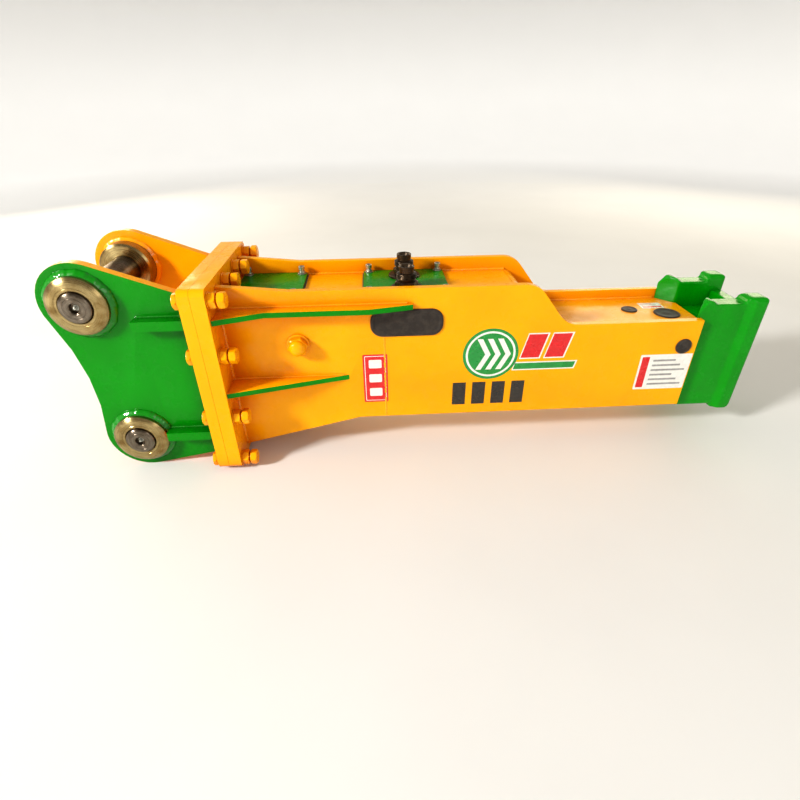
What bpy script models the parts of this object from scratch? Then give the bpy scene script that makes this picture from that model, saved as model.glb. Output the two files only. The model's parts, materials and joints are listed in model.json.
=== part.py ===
"""Hydraulic breaker hammer: a box housing with a two-pin mounting bracket and a power cell.

The breaker lies on its side-mounted bracket ears with its tool axis along +X.
All sizes below are in millimetres, in the flange frame: X = 0 is the seam between the
bracket flange and the box flange, Y = 0 is the plane of symmetry, Z = 0 is the middle
of the flanges.  One empty carries every piece and moves the flange frame so that the
world origin is the centre of the underside of the whole breaker.
"""
import math

import bmesh
import bpy
from mathutils import Matrix, Vector

MM = 0.001
GAP = 0.3                      # clearance between pieces that touch
ARC_STEP = 9.0                 # degrees between points on a rounded outline
ROUND_SEGMENTS = 28
INNER_SEGMENTS = 20

# Flanges and their bolts
FLANGE_HALF_WIDTH = 192.5
FLANGE_HALF_HEIGHT = 224.0
FLANGE_CORNER = 15.0
BRACKET_FLANGE = 25.0
BOX_FLANGE = 30.0
BOLT_SIDE_Y = 172.0
BOLT_MIDDLE_Y = 50.0
BOLT_ROWS_Z = (197.0, 71.0, -86.0, -205.0)
BOLT_RADIUS = 11.0
BOLT_FLATS = 32.0
BOLT_HEAD = 13.0
NUT_HEIGHT = 17.0
NUT_NECK = 3.5

# Mounting bracket ears
EAR_INNER_Y = 122.5
EAR_OUTER_Y = 143.0
UPPER_PIN = (-238.5, 186.0)
LOWER_PIN = (-202.0, -148.0)
LOBE_RADIUS = 86.0
WAIST_RADIUS = 450.0
EAR_TOP_SLOPE = 20.9
EAR_BOTTOM_SLOPE = 10.3
GUSSET_PROUD = 27.0
GUSSET_HEIGHT = 22.0
UPPER_GUSSET = (-140.0, 142.0)
LOWER_GUSSET = (-136.0, -140.0)
COLLAR_RADIUS = 62.0
COLLAR_INNER_Y = 85.0
COLLAR_OUTER_Y = 165.0
PIN_RADIUS = 32.5
PIN_PROUD = 6.0
PIN_RECESS_RADIUS = 11.0
PIN_RECESS_DEPTH = 9.0

# Box housing
SIDE_INNER_Y = 101.0
SIDE_OUTER_Y = 117.0
SIDE_END_X = 1130.0
SIDE_TOP_Z = 190.5
SIDE_FRONT_Z = 92.5
SIDE_BOTTOM_Z = -136.6
SHOULDER_SLOPE = 52.0
SHOULDER_START_X = 700.0
SHOULDER_UPPER_RADIUS = 57.0
SHOULDER_LOWER_RADIUS = 60.0
REAR_PLATE_Z = 158.0
FRONT_PLATE_Z = 68.5
PLATE = 12.0
BOTTOM_PLATE = 16.0
BOTTOM_RECESS = 8.6
RIB_THICKNESS = 12.0
UPPER_RIB_Z = 151.0
LOWER_RIB_Z = -23.0

# Front claws: they stand between the side plates and run on past them
CLAW_INNER_Y = 59.0
CLAW_START_X = 1120.0
CLAW_FULL_X = 1157.0           # where the chamfered inner corner reaches full thickness
CLAW_START_Z = 109.0
CLAW_RIDGE_Z = 132.5
CLAW_FLAT_Z = 123.0
CLAW_BOTTOM_Z = -151.0
BAR_OUTER_Y = 110.0
BAR_BACK_X = 1231.0
BAR_FRONT_X = 1280.0
BAR_TOP_Z = 139.0
BAR_BOTTOM_Z = -161.0
BAR_ROUNDING = 13.0
TOP_PLATE_END_X = 1160.0
NOSE_WALL_X = (1245.0, 1275.0)
UPPER_NOSE_Z = (48.0, 100.0)
LOWER_NOSE_Z = (-142.0, -90.0)

# Covers, plugs, studs and hose adaptors on the box
COVER_THICKNESS = 7.0
COVER_HALF_WIDTH = 96.0
REAR_COVER_X = (45.0, 201.0)
PORT_COVER_X = (342.0, 540.0)
STUD_RADIUS = 6.0
STUD_HEIGHT = 19.0
PORT_X = 441.0
PORT_Y = 48.0
ADAPTOR_TOP_Z = 219.0
ADAPTOR_BORE = 9.0
SLOT_PLUG = (437.0, 111.0, 164.0, 64.0)        # x, z, length, height
SLOT_PLUG_CORNER = 27.0
PIN_PLUG_RADIUS = 19.0
GREASE_PLUG = (1017.0, 18.0, 19.5)             # x, y, rim radius
STOP_PLUG = (1099.0, -14.0, 31.0)
PLUG_RIM = 4.0
SIDE_BOLT = (190.0, 66.0)
SIDE_BOLT_FLATS = 41.0

# Power cell
AXIS_Z = -18.0
CELL_HALF_WIDTH = 85.0
CELL_HALF_HEIGHT = 74.0
BUFFER_X = (4.0, 39.7)
BACK_HEAD_X = (40.0, 250.0)
CYLINDER_X = (250.3, 760.0)
FRONT_HEAD_X = (760.3, 1210.0)
NOSE_START_X = 1116.5
NOSE_HALF = (54.0, 62.0)
THROUGH_BOLT = (61.0, 50.0)
THROUGH_BOLT_RADIUS = 12.5
BOLT_CLEARANCE = 0.9           # round each through bolt
GAS_VALVE_X = 123.0
TOOL_RADIUS = 38.2
LOWER_BUSH_RADIUS = 46.0
RETAINER_X = 1098.0
RETAINER_Z = 28.0
RETAINER_RADIUS = 16.0
VALVE_BLOCK_X = (330.0, 560.0)
VALVE_BLOCK_TOP_Z = 138.0
VALVE_Z = 98.0
SPOOL_RADIUS = 17.0


# ---------------------------------------------------------------- materials
def make_material(name, colour, roughness, metallic=0.0):
    """A plain Principled material for one piece."""
    material = bpy.data.materials.new(name)
    material.use_nodes = True
    shader = material.node_tree.nodes["Principled BSDF"]
    shader.inputs["Base Color"].default_value = (*colour, 1.0)
    shader.inputs["Roughness"].default_value = roughness
    shader.inputs["Metallic"].default_value = metallic
    return material


FINISHES = {
    "yellow_paint": ((0.90, 0.42, 0.0), 0.30, 0.0),
    "green_paint": ((0.0, 0.34, 0.01), 0.28, 0.0),
    "steel": ((0.46, 0.42, 0.37), 0.35, 1.0),
    "black_steel": ((0.05, 0.04, 0.035), 0.45, 0.8),
    "zinc": ((0.62, 0.64, 0.62), 0.30, 1.0),
    "rubber": ((0.02, 0.016, 0.013), 0.75, 0.0),
    "bronze": ((0.55, 0.36, 0.16), 0.40, 1.0),
    "polyurethane": ((0.50, 0.22, 0.04), 0.55, 0.0),
}


def clear_scene():
    for item in list(bpy.data.objects):
        bpy.data.objects.remove(item, do_unlink=True)


# ------------------------------------------------------------ mesh building
def finish_mesh(name, form, finish, parent, smooth=False):
    """Turns a bmesh in millimetres into a named object in metres."""
    bmesh.ops.recalc_face_normals(form, faces=form.faces)
    bmesh.ops.scale(form, vec=(MM, MM, MM), verts=form.verts)
    mesh = bpy.data.meshes.new(name)
    form.to_mesh(mesh)
    form.free()
    if smooth:
        mesh.shade_smooth()
        mesh.set_sharp_from_angle(angle=math.radians(35))
    piece = bpy.data.objects.new(name, mesh)
    bpy.context.scene.collection.objects.link(piece)
    piece.parent = parent
    if finish:
        mesh.materials.append(make_material(name + "_finish", *FINISHES[finish]))
    return piece


def prism_form(outline, axis, low, high):
    """A bmesh prism: the outline's two numbers are the other two axes in X, Y, Z order."""
    form = bmesh.new()

    def place(point, level):
        values = list(point)
        values.insert("XYZ".index(axis), level)
        return values

    base = [form.verts.new(place(point, low)) for point in outline]
    face = form.faces.new(base)
    moved = bmesh.ops.extrude_face_region(form, geom=[face])
    step = Vector(place((0.0, 0.0), high - low))
    tops = [item for item in moved["geom"] if isinstance(item, bmesh.types.BMVert)]
    bmesh.ops.translate(form, vec=step, verts=tops)
    return form


def prism(name, outline, axis, low, high, finish, parent):
    return finish_mesh(name, prism_form(outline, axis, low, high), finish, parent, smooth=True)


def turned_form(profile, axis="X", centre=(0.0, 0.0), segments=ROUND_SEGMENTS, ring=False):
    """Revolves (station, radius) points about an axis; a ring profile closes on itself."""
    form = bmesh.new()
    loops = []
    for station, radius in profile:
        loop = []
        for index in range(segments):
            turn = math.tau * (index + 0.5) / segments
            values = [centre[0] + radius * math.cos(turn), centre[1] + radius * math.sin(turn)]
            values.insert("XYZ".index(axis), station)
            loop.append(form.verts.new(values))
        loops.append(loop)
    pairs = list(zip(loops, loops[1:]))
    if ring:
        pairs.append((loops[-1], loops[0]))
    else:
        form.faces.new(loops[0])
        form.faces.new(loops[-1])
    for first, second in pairs:
        for index in range(segments):
            after = (index + 1) % segments
            form.faces.new((first[index], first[after], second[after], second[index]))
    return form


def turned(name, profile, finish, parent, **options):
    return finish_mesh(name, turned_form(profile, **options), finish, parent, smooth=True)


def box_form(low, high):
    outline = [(low[0], low[1]), (high[0], low[1]), (high[0], high[1]), (low[0], high[1])]
    return prism_form(outline, "Z", low[2], high[2])


def hide_tool(tool):
    tool.hide_render = True
    tool.display_type = "WIRE"
    return tool


def combine(piece, tool, operation):
    hide_tool(tool)
    modifier = piece.modifiers.new(tool.name, "BOOLEAN")
    modifier.operation = operation
    modifier.object = tool
    modifier.solver = "EXACT"
    return piece


def cut(piece, form):
    """Takes a bmesh shape out of a piece."""
    name = f"{piece.name}_cut_{len(piece.modifiers)}"
    return combine(piece, finish_mesh(name, form, None, piece.parent), "DIFFERENCE")


def join(piece, form):
    """Adds a bmesh shape to a piece as one welded solid."""
    name = f"{piece.name}_add_{len(piece.modifiers)}"
    return combine(piece, finish_mesh(name, form, None, piece.parent), "UNION")


# ----------------------------------------------------------------- outlines
def arc(centre, radius, start, end):
    """Points along an arc, in degrees, both ends included."""
    count = max(2, round(abs(end - start) / ARC_STEP))
    points = []
    for index in range(count + 1):
        turn = math.radians(start + (end - start) * index / count)
        points.append((centre[0] + radius * math.cos(turn), centre[1] + radius * math.sin(turn)))
    return points


def rounded_rectangle(low, high, radius):
    corners = (
        ((high[0] - radius, high[1] - radius), 0),
        ((low[0] + radius, high[1] - radius), 90),
        ((low[0] + radius, low[1] + radius), 180),
        ((high[0] - radius, low[1] + radius), 270),
    )
    points = []
    for centre, start in corners:
        points += arc(centre, radius, start, start + 90)
    return points


def hexagon(centre, flats, start=0.0):
    """A hexagon across its flats; start turns its first corner, in degrees."""
    corner = flats / math.sqrt(3)
    points = []
    for index in range(6):
        turn = math.radians(start + 60 * index)
        points.append((centre[0] + corner * math.cos(turn), centre[1] + corner * math.sin(turn)))
    return points


def tangent_circle(first, second, lobe, radius):
    """Centre of the circle that touches two equal lobes from the outside, on their -X side."""
    middle = ((first[0] + second[0]) / 2, (first[1] + second[1]) / 2)
    span = math.dist(first, second)
    height = math.sqrt((radius + lobe) ** 2 - (span / 2) ** 2)
    along = ((second[0] - first[0]) / span, (second[1] - first[1]) / span)
    return (middle[0] + along[1] * height, middle[1] - along[0] * height)


def bearing(origin, target):
    return math.degrees(math.atan2(target[1] - origin[1], target[0] - origin[0]))


def ear_outline():
    """Two pin lobes joined by a concave waist, with straight edges back to the flange."""
    flange_x = -BRACKET_FLANGE - GAP
    waist = tangent_circle(UPPER_PIN, LOWER_PIN, LOBE_RADIUS, WAIST_RADIUS)
    top_turn = 90 - EAR_TOP_SLOPE
    bottom_turn = 270 + EAR_BOTTOM_SLOPE
    upper_touch = bearing(UPPER_PIN, waist) % 360
    lower_touch = bearing(LOWER_PIN, waist) % 360
    upper = arc(UPPER_PIN, LOBE_RADIUS, top_turn, upper_touch)
    middle = arc(waist, WAIST_RADIUS, upper_touch - 180, lower_touch - 180)
    lower = arc(LOWER_PIN, LOBE_RADIUS, lower_touch, bottom_turn)
    top_z = upper[0][1] - (flange_x - upper[0][0]) * math.tan(math.radians(EAR_TOP_SLOPE))
    low_z = lower[-1][1] + (flange_x - lower[-1][0]) * math.tan(math.radians(EAR_BOTTOM_SLOPE))
    return [(flange_x, top_z)] + upper + middle[1:-1] + lower + [(flange_x, low_z)]


def shoulder_curve(drop):
    """The S-shaped step from the rear top line to the front one, moved inwards by drop."""
    slope = SHOULDER_SLOPE
    upper_radius = SHOULDER_UPPER_RADIUS - drop
    lower_radius = SHOULDER_LOWER_RADIUS + drop
    upper_centre = (SHOULDER_START_X, SIDE_TOP_Z - SHOULDER_UPPER_RADIUS)
    lower_centre_z = SIDE_FRONT_Z + SHOULDER_LOWER_RADIUS
    reach = (SHOULDER_UPPER_RADIUS + SHOULDER_LOWER_RADIUS)
    fall = upper_centre[1] - lower_centre_z + reach * math.cos(math.radians(slope))
    run = fall / math.tan(math.radians(slope))
    lower_x = upper_centre[0] + reach * math.sin(math.radians(slope)) + run
    points = arc(upper_centre, upper_radius, 90, 90 - slope)
    return points + arc((lower_x, lower_centre_z), lower_radius, 270 - slope, 270)


# ------------------------------------------------------------------ bracket
def build_bracket(root):
    low = (-FLANGE_HALF_WIDTH, -FLANGE_HALF_HEIGHT)
    high = (FLANGE_HALF_WIDTH, FLANGE_HALF_HEIGHT)
    outline = rounded_rectangle(low, high, FLANGE_CORNER)
    flange = prism("bracket_flange", outline, "X", -BRACKET_FLANGE, -GAP / 2, "yellow_paint", root)
    drill_flange(flange, -BRACKET_FLANGE - 1, 1)
    for side, label in ((-1, "right"), (1, "left")):
        build_ear(side, label, root)
    for centre, label in ((UPPER_PIN, "upper"), (LOWER_PIN, "lower")):
        build_pin(centre, label, root)


def build_ear(side, label, root):
    low, high = sorted((side * EAR_INNER_Y, side * EAR_OUTER_Y))
    ear = prism(f"bracket_ear_{label}", ear_outline(), "Y", low, high, "green_paint", root)
    for end_x, middle_z in (UPPER_GUSSET, LOWER_GUSSET):
        near, far = sorted((side * (EAR_OUTER_Y - 3), side * (EAR_OUTER_Y + GUSSET_PROUD)))
        bar_low = (end_x, near, middle_z - GUSSET_HEIGHT / 2)
        bar_high = (-BRACKET_FLANGE - GAP, far, middle_z + GUSSET_HEIGHT / 2)
        join(ear, box_form(bar_low, bar_high))
    for centre in (UPPER_PIN, LOWER_PIN):
        hole = ((low - 5, COLLAR_RADIUS + GAP), (high + 5, COLLAR_RADIUS + GAP))
        cut(ear, turned_form(hole, axis="Y", centre=centre))
    return ear


def build_collar(name, centre, side, root):
    """A turned boss welded through the ear, which carries one end of a pin."""
    bore = PIN_RADIUS + GAP
    profile = [
        (side * COLLAR_OUTER_Y, bore),
        (side * COLLAR_OUTER_Y, COLLAR_RADIUS - 9),
        (side * (COLLAR_OUTER_Y - 4), COLLAR_RADIUS),
        (side * (COLLAR_INNER_Y + 4), COLLAR_RADIUS),
        (side * COLLAR_INNER_Y, COLLAR_RADIUS - 5),
        (side * COLLAR_INNER_Y, bore),
    ]
    return turned(name, profile, "steel", root, axis="Y", centre=centre, ring=True)


def build_pin(centre, label, root):
    for side, hand in ((-1, "right"), (1, "left")):
        build_collar(f"{label}_collar_{hand}", centre, side, root)
    end = COLLAR_OUTER_Y + PIN_PROUD
    axle = bpy.data.objects.new(f"{label}_pin_axis", None)
    axle.location = Vector((centre[0], 0.0, centre[1])) * MM
    axle.parent = root
    bpy.context.scene.collection.objects.link(axle)
    recess = end - PIN_RECESS_DEPTH
    profile = (
        (-recess, PIN_RECESS_RADIUS),
        (-end, PIN_RECESS_RADIUS + 2),
        (-end, PIN_RADIUS - 3),
        (3 - end, PIN_RADIUS),
        (end - 3, PIN_RADIUS),
        (end, PIN_RADIUS - 3),
        (end, PIN_RECESS_RADIUS + 2),
        (recess, PIN_RECESS_RADIUS),
    )
    turned(f"{label}_pin", profile, "steel", axle, axis="Y")


# ------------------------------------------------------------------ flanges
def bolt_places():
    """Middle of each flange bolt: four down each side, two along the top and the bottom."""
    places = []
    for row, level in enumerate(BOLT_ROWS_Z, start=1):
        places.append((f"row{row}_right", -BOLT_SIDE_Y, level))
        places.append((f"row{row}_left", BOLT_SIDE_Y, level))
        if row in (1, len(BOLT_ROWS_Z)):
            places.append((f"row{row}_mid_right", -BOLT_MIDDLE_Y, level))
            places.append((f"row{row}_mid_left", BOLT_MIDDLE_Y, level))
    return places


def drill_flange(flange, low, high):
    radius = BOLT_RADIUS + 1.2
    for _, across, level in bolt_places():
        hole = ((low, radius), (high, radius))
        cut(flange, turned_form(hole, centre=(across, level), segments=8))


def build_flange_bolts(root):
    head_start = -BRACKET_FLANGE - GAP - BOLT_HEAD
    first_nut = BOX_FLANGE + GAP
    second_nut = first_nut + NUT_HEIGHT + NUT_NECK
    end = second_nut + NUT_HEIGHT
    for label, across, level in bolt_places():
        centre = (across, level)
        shank = ((head_start + 2, BOLT_RADIUS), (end - 2, BOLT_RADIUS))
        form = turned_form(shank, centre=centre, segments=8)
        bolt = finish_mesh(f"flange_bolt_{label}", form, "yellow_paint", root, smooth=True)
        hexes = ((head_start, BOLT_HEAD), (first_nut, NUT_HEIGHT), (second_nut, NUT_HEIGHT))
        for start, height in hexes:
            join(bolt, prism_form(hexagon(centre, BOLT_FLATS, 30), "X", start, start + height))


# ---------------------------------------------------------------- box panels
def build_box_flange(root):
    low = (-FLANGE_HALF_WIDTH, -FLANGE_HALF_HEIGHT)
    high = (FLANGE_HALF_WIDTH, FLANGE_HALF_HEIGHT)
    outline = rounded_rectangle(low, high, FLANGE_CORNER)
    flange = prism("box_flange", outline, "X", GAP / 2, BOX_FLANGE, "yellow_paint", root)
    drill_flange(flange, -1, BOX_FLANGE + 1)
    mouth = rounded_rectangle((-92, AXIS_Z - 84), (92, AXIS_Z + 84), 12)
    cut(flange, prism_form(mouth, "X", -1, BOX_FLANGE + 1))


def side_outline():
    start = BOX_FLANGE + GAP
    bottom = [(SIDE_END_X, SIDE_BOTTOM_Z), (321.0, SIDE_BOTTOM_Z - 1.4), (start, -205.0)]
    top = [(start, 205.5), (182.0, SIDE_TOP_Z)]
    return top + shoulder_curve(0.0) + [(SIDE_END_X, SIDE_FRONT_Z)] + bottom


def build_side_plate(side, label, root):
    low, high = sorted((side * SIDE_INNER_Y, side * SIDE_OUTER_Y))
    plate = prism(f"side_plate_{label}", side_outline(), "Y", low, high, "yellow_paint", root)
    x, z, length, height = SLOT_PLUG
    reach = (length / 2 - 5, height / 2 - 5)
    slot = rounded_rectangle((x - reach[0], z - reach[1]), (x + reach[0], z + reach[1]),
                             SLOT_PLUG_CORNER - 5)
    cut(plate, prism_form(slot, "Y", low - 5, high + 5))
    hole = ((low - 5, RETAINER_RADIUS + 1), (high + 5, RETAINER_RADIUS + 1))
    cut(plate, turned_form(hole, axis="Y", centre=(RETAINER_X, RETAINER_Z), segments=24))
    hole = ((low - 5, 16.5), (high + 5, 16.5))
    cut(plate, turned_form(hole, axis="Y", centre=SIDE_BOLT, segments=16))
    add_ribs(plate, side)


def add_ribs(plate, side):
    """Welds on two horizontal stiffeners that taper from the flange along the side plate."""
    start = BOX_FLANGE + GAP
    root_y = SIDE_OUTER_Y - 3
    upper = [(start, root_y), (start, 185), (130, 149), (352, 149), (450, 127), (450, root_y)]
    lower = [(start, root_y), (start, 187), (300, SIDE_OUTER_Y), (300, root_y)]
    for outline, level in ((upper, UPPER_RIB_Z), (lower, LOWER_RIB_Z)):
        points = [(x, side * y) for x, y in outline]
        low = level - RIB_THICKNESS / 2
        high = level + RIB_THICKNESS / 2
        join(plate, prism_form(points, "Z", low, high))


def build_top_plates(root):
    inner = SIDE_INNER_Y - GAP
    start = BOX_FLANGE + GAP
    low = (start, -inner, REAR_PLATE_Z - PLATE)
    high = (SHOULDER_START_X - GAP, inner, REAR_PLATE_Z)
    rear = finish_mesh("rear_top_plate", box_form(low, high), "yellow_paint", root)
    for x_low, x_high in (REAR_COVER_X, PORT_COVER_X):
        window = box_form((x_low + 35, -70, 100), (x_high - 35, 70, 200))
        cut(rear, window)
    drop = SIDE_TOP_Z - REAR_PLATE_Z
    outer = stretch_fall(shoulder_curve(drop), FRONT_PLATE_Z)
    inside = stretch_fall(shoulder_curve(drop + PLATE), FRONT_PLATE_Z - PLATE)
    prism("ramp_plate", outer + inside[::-1], "Y", -inner, inner, "yellow_paint", root)
    ramp_end = max(outer[-1][0], inside[-1][0])
    low_z = FRONT_PLATE_Z - PLATE
    front = nose_outline(ramp_end + GAP)
    plate = prism("front_top_plate", front, "Z", low_z, FRONT_PLATE_Z, "yellow_paint", root)
    for x, y, rim in (GREASE_PLUG, STOP_PLUG):
        radius = rim - PLUG_RIM + 0.5
        hole = ((low_z - 5, radius), (FRONT_PLATE_Z + 5, radius))
        cut(plate, turned_form(hole, axis="Z", centre=(x, y), segments=24))


def nose_outline(start):
    """Plan of a plate that fills the box from start and narrows to pass between the claws."""
    wide = SIDE_INNER_Y - GAP
    narrow = CLAW_INNER_Y - 2 * GAP
    right = [(start, -wide), (CLAW_START_X - 2 * GAP, -wide), (CLAW_FULL_X - GAP, -narrow),
             (TOP_PLATE_END_X, -narrow)]
    return right + [(x, -y) for x, y in reversed(right)]


def stretch_fall(curve, level):
    """Scales a falling curve's drop so that its last point lands on the given level."""
    top = curve[0][1]
    share = (top - level) / (top - curve[-1][1])
    return [(x, top - (top - z) * share) for x, z in curve]


def build_bottom_plate(root):
    low = SIDE_BOTTOM_Z + BOTTOM_RECESS
    outline = nose_outline(BOX_FLANGE + GAP)
    prism("bottom_plate", outline, "Z", low, low + BOTTOM_PLATE, "yellow_paint", root)


# -------------------------------------------------------------------- claws
def claw_outline():
    """Side view of a claw plate: a rounded ridge at the rear, then a level top."""
    start = CLAW_START_X
    end = BAR_FRONT_X - 20
    ridge = arc((start + 26, CLAW_RIDGE_Z - 14), 14, 150, 55)
    top = [(start, CLAW_START_Z)] + ridge + [(start + 42, CLAW_FLAT_Z), (end, CLAW_FLAT_Z)]
    return top + [(end, CLAW_BOTTOM_Z), (start + 16, CLAW_BOTTOM_Z), (start, SIDE_BOTTOM_Z)]


def bar_plan():
    """Plan of the front bar, bevelled where it stands proud of the claw plate."""
    front = BAR_FRONT_X
    corner = 9.0
    points = [(BAR_BACK_X, CLAW_INNER_Y), (BAR_BACK_X, SIDE_INNER_Y - 1),
              (BAR_BACK_X + 17, BAR_OUTER_Y)]
    points += arc((front - corner, BAR_OUTER_Y - corner), corner, 90, 0)
    return points + arc((front - corner, CLAW_INNER_Y + corner), corner, 0, -90)


def bar_side():
    """Side view of the front bar, rounded along its top and chamfered at its foot."""
    round_z = BAR_TOP_Z - BAR_ROUNDING
    top = arc((BAR_FRONT_X + 1 - BAR_ROUNDING, round_z), BAR_ROUNDING, 0, 90)
    top += arc((BAR_BACK_X - 1 + BAR_ROUNDING, round_z), BAR_ROUNDING, 90, 180)
    back = BAR_BACK_X - 1
    foot = [(back, BAR_BOTTOM_Z + 2), (back + 3, BAR_BOTTOM_Z), (BAR_FRONT_X - 12, BAR_BOTTOM_Z),
            (BAR_FRONT_X + 1, BAR_BOTTOM_Z + 12)]
    return top + foot


def bar_end():
    """End view of the front bar, rounded along both of its top edges."""
    round_z = BAR_TOP_Z - BAR_ROUNDING
    top = arc((BAR_OUTER_Y - BAR_ROUNDING, round_z), BAR_ROUNDING, 0, 90)
    top += arc((CLAW_INNER_Y + BAR_ROUNDING, round_z), BAR_ROUNDING, 90, 180)
    return top + [(CLAW_INNER_Y, BAR_BOTTOM_Z - 5), (BAR_OUTER_Y, BAR_BOTTOM_Z - 5)]


def build_claw(side, label, root):
    wide = side * (SIDE_INNER_Y - GAP)
    low, high = sorted((side * CLAW_INNER_Y, wide))
    claw = prism(f"claw_{label}", claw_outline(), "Y", low, high, "green_paint", root)
    slope = (wide - side * CLAW_INNER_Y) / (CLAW_FULL_X - CLAW_START_X)
    inner = side * CLAW_INNER_Y - 2 * slope
    wedge = [(CLAW_START_X - 2, wide + 2 * slope), (CLAW_FULL_X + 2, inner),
             (CLAW_START_X - 2, inner)]
    cut(claw, prism_form(wedge, "Z", BAR_BOTTOM_Z, BAR_TOP_Z))
    plan = [(x, side * y) for x, y in bar_plan()]
    bar = finish_mesh(f"claw_bar_{label}", prism_form(plan, "Z", BAR_BOTTOM_Z - 5, BAR_TOP_Z + 5),
                      None, root)
    low, high = sorted((side * (CLAW_INNER_Y - 5), side * (BAR_OUTER_Y + 5)))
    profile = finish_mesh(f"claw_profile_{label}", prism_form(bar_side(), "Y", low, high),
                          None, root)
    ends = [(side * y, z) for y, z in bar_end()]
    view = prism_form(ends, "X", BAR_BACK_X - 5, BAR_FRONT_X + 5)
    combine(bar, profile, "INTERSECT")
    combine(bar, finish_mesh(f"claw_end_{label}", view, None, root), "INTERSECT")
    combine(claw, bar, "UNION")


def build_nose_plates(root):
    """Upper and lower cross members between the claws: a plate that ends in a wall."""
    wide = CLAW_INNER_Y - GAP
    back = TOP_PLATE_END_X + GAP
    wall, front = NOSE_WALL_X
    for name, (low, high), plate_low in (
        ("upper", UPPER_NOSE_Z, UPPER_NOSE_Z[0]),
        ("lower", LOWER_NOSE_Z, SIDE_BOTTOM_Z + BOTTOM_RECESS),
    ):
        base = box_form((back, -wide, plate_low), (wall + 5, wide, plate_low + PLATE))
        plate = finish_mesh(f"nose_plate_{name}", base, "green_paint", root)
        join(plate, box_form((wall, -wide, low), (front, wide, high)))


# ------------------------------------------------------- covers and fittings
def build_covers(root):
    for name, (x_low, x_high) in (("gas_cover", REAR_COVER_X), ("port_cover", PORT_COVER_X)):
        base = REAR_PLATE_Z + GAP
        top = base + COVER_THICKNESS
        low = (x_low, -COVER_HALF_WIDTH, base)
        high = (x_high, COVER_HALF_WIDTH, top)
        cover = finish_mesh(name, box_form(low, high), "green_paint", root)
        for x in (x_low + 13, x_high - 13):
            for y in (-84, 84):
                stud = ((base + 2, STUD_RADIUS), (top + STUD_HEIGHT, STUD_RADIUS))
                join(cover, turned_form(stud, axis="Z", centre=(x, y), segments=12))
        if name == "port_cover":
            for y in (-PORT_Y, PORT_Y):
                hole = ((base - 5, 24), (top + 5, 24))
                cut(cover, turned_form(hole, axis="Z", centre=(PORT_X, y), segments=24))


def build_adaptors(root):
    """Two threaded hose adaptors: spigot, hexagon, neck and open cone end."""
    seat = VALVE_BLOCK_TOP_Z + GAP
    flange = REAR_PLATE_Z + COVER_THICKNESS + 2 * GAP
    top = ADAPTOR_TOP_Z
    for y, label in ((-PORT_Y, "right"), (PORT_Y, "left")):
        profile = [
            (seat - 20, ADAPTOR_BORE), (seat - 20, 16), (seat, 16), (seat, 22), (flange, 22),
            (flange, 37), (flange + 4, 38), (flange + 6, 25), (flange + 20, 25),
            (flange + 22, 19.5), (flange + 26, 19.5), (flange + 28, 23), (flange + 36, 23),
            (flange + 38, 17.5), (top, 17.5), (top, 14), (top - 8, ADAPTOR_BORE),
        ]
        turned(f"hose_adaptor_{label}", profile, "black_steel", root, axis="Z",
               centre=(PORT_X, y), segments=20, ring=True)


def build_plugs(root):
    """Rubber plugs that close the service holes of the box."""
    x, z, length, height = SLOT_PLUG
    for side, label in ((-1, "right"), (1, "left")):
        low, high = sorted((side * (SIDE_OUTER_Y + GAP), side * (SIDE_OUTER_Y + 4)))
        reach = (length / 2, height / 2)
        face = rounded_rectangle((x - reach[0], z - reach[1]), (x + reach[0], z + reach[1]),
                                 SLOT_PLUG_CORNER)
        plug = prism(f"port_plug_{label}", face, "Y", low, high, "rubber", root)
        reach = (length / 2 - 5.5, height / 2 - 5.5)
        stem = rounded_rectangle((x - reach[0], z - reach[1]), (x + reach[0], z + reach[1]),
                                 SLOT_PLUG_CORNER - 5.5)
        low, high = sorted((side * (SIDE_INNER_Y - 2), side * (SIDE_OUTER_Y + 2)))
        join(plug, prism_form(stem, "Y", low, high))
    for side, label in ((-1, "right"), (1, "left")):
        profile = (
            (side * (SIDE_OUTER_Y - 8), RETAINER_RADIUS + 0.4),
            (side * (SIDE_OUTER_Y + GAP), RETAINER_RADIUS + 0.4),
            (side * (SIDE_OUTER_Y + GAP), PIN_PLUG_RADIUS),
            (side * (SIDE_OUTER_Y + 2.5), PIN_PLUG_RADIUS),
            (side * (SIDE_OUTER_Y + 3.5), PIN_PLUG_RADIUS - 1.5),
        )
        turned(f"pin_plug_{label}", profile, "rubber", root, axis="Y",
               centre=(RETAINER_X, RETAINER_Z), segments=24)
    top = FRONT_PLATE_Z
    for name, (x, y, rim) in (("grease_plug", GREASE_PLUG), ("stop_pin_plug", STOP_PLUG)):
        stem = rim - PLUG_RIM
        profile = ((top - PLATE, stem), (top + GAP, stem), (top + GAP, rim), (top + 2.5, rim),
                   (top + 3.5, rim - 2))
        turned(name, profile, "rubber", root, axis="Z", centre=(x, y), segments=24)


def build_side_bolts(root):
    """Painted bolts through the side plates into the back head, each with a domed cap nut."""
    for side, label in ((-1, "right"), (1, "left")):
        face = SIDE_OUTER_Y + GAP
        shank = (
            (side * 66, 14), (side * face, 14), (side * face, 26), (side * (face + 4), 26),
            (side * (face + 4), 19), (side * (face + 22), 19), (side * (face + 29), 15),
            (side * (face + 32), 8),
        )
        form = turned_form(shank, axis="Y", centre=SIDE_BOLT, segments=24)
        bolt = finish_mesh(f"side_bolt_{label}", form, "yellow_paint", root, smooth=True)
        low, high = sorted((side * (face + 3), side * (face + 21)))
        join(bolt, prism_form(hexagon(SIDE_BOLT, SIDE_BOLT_FLATS, 90), "Y", low, high))


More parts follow.
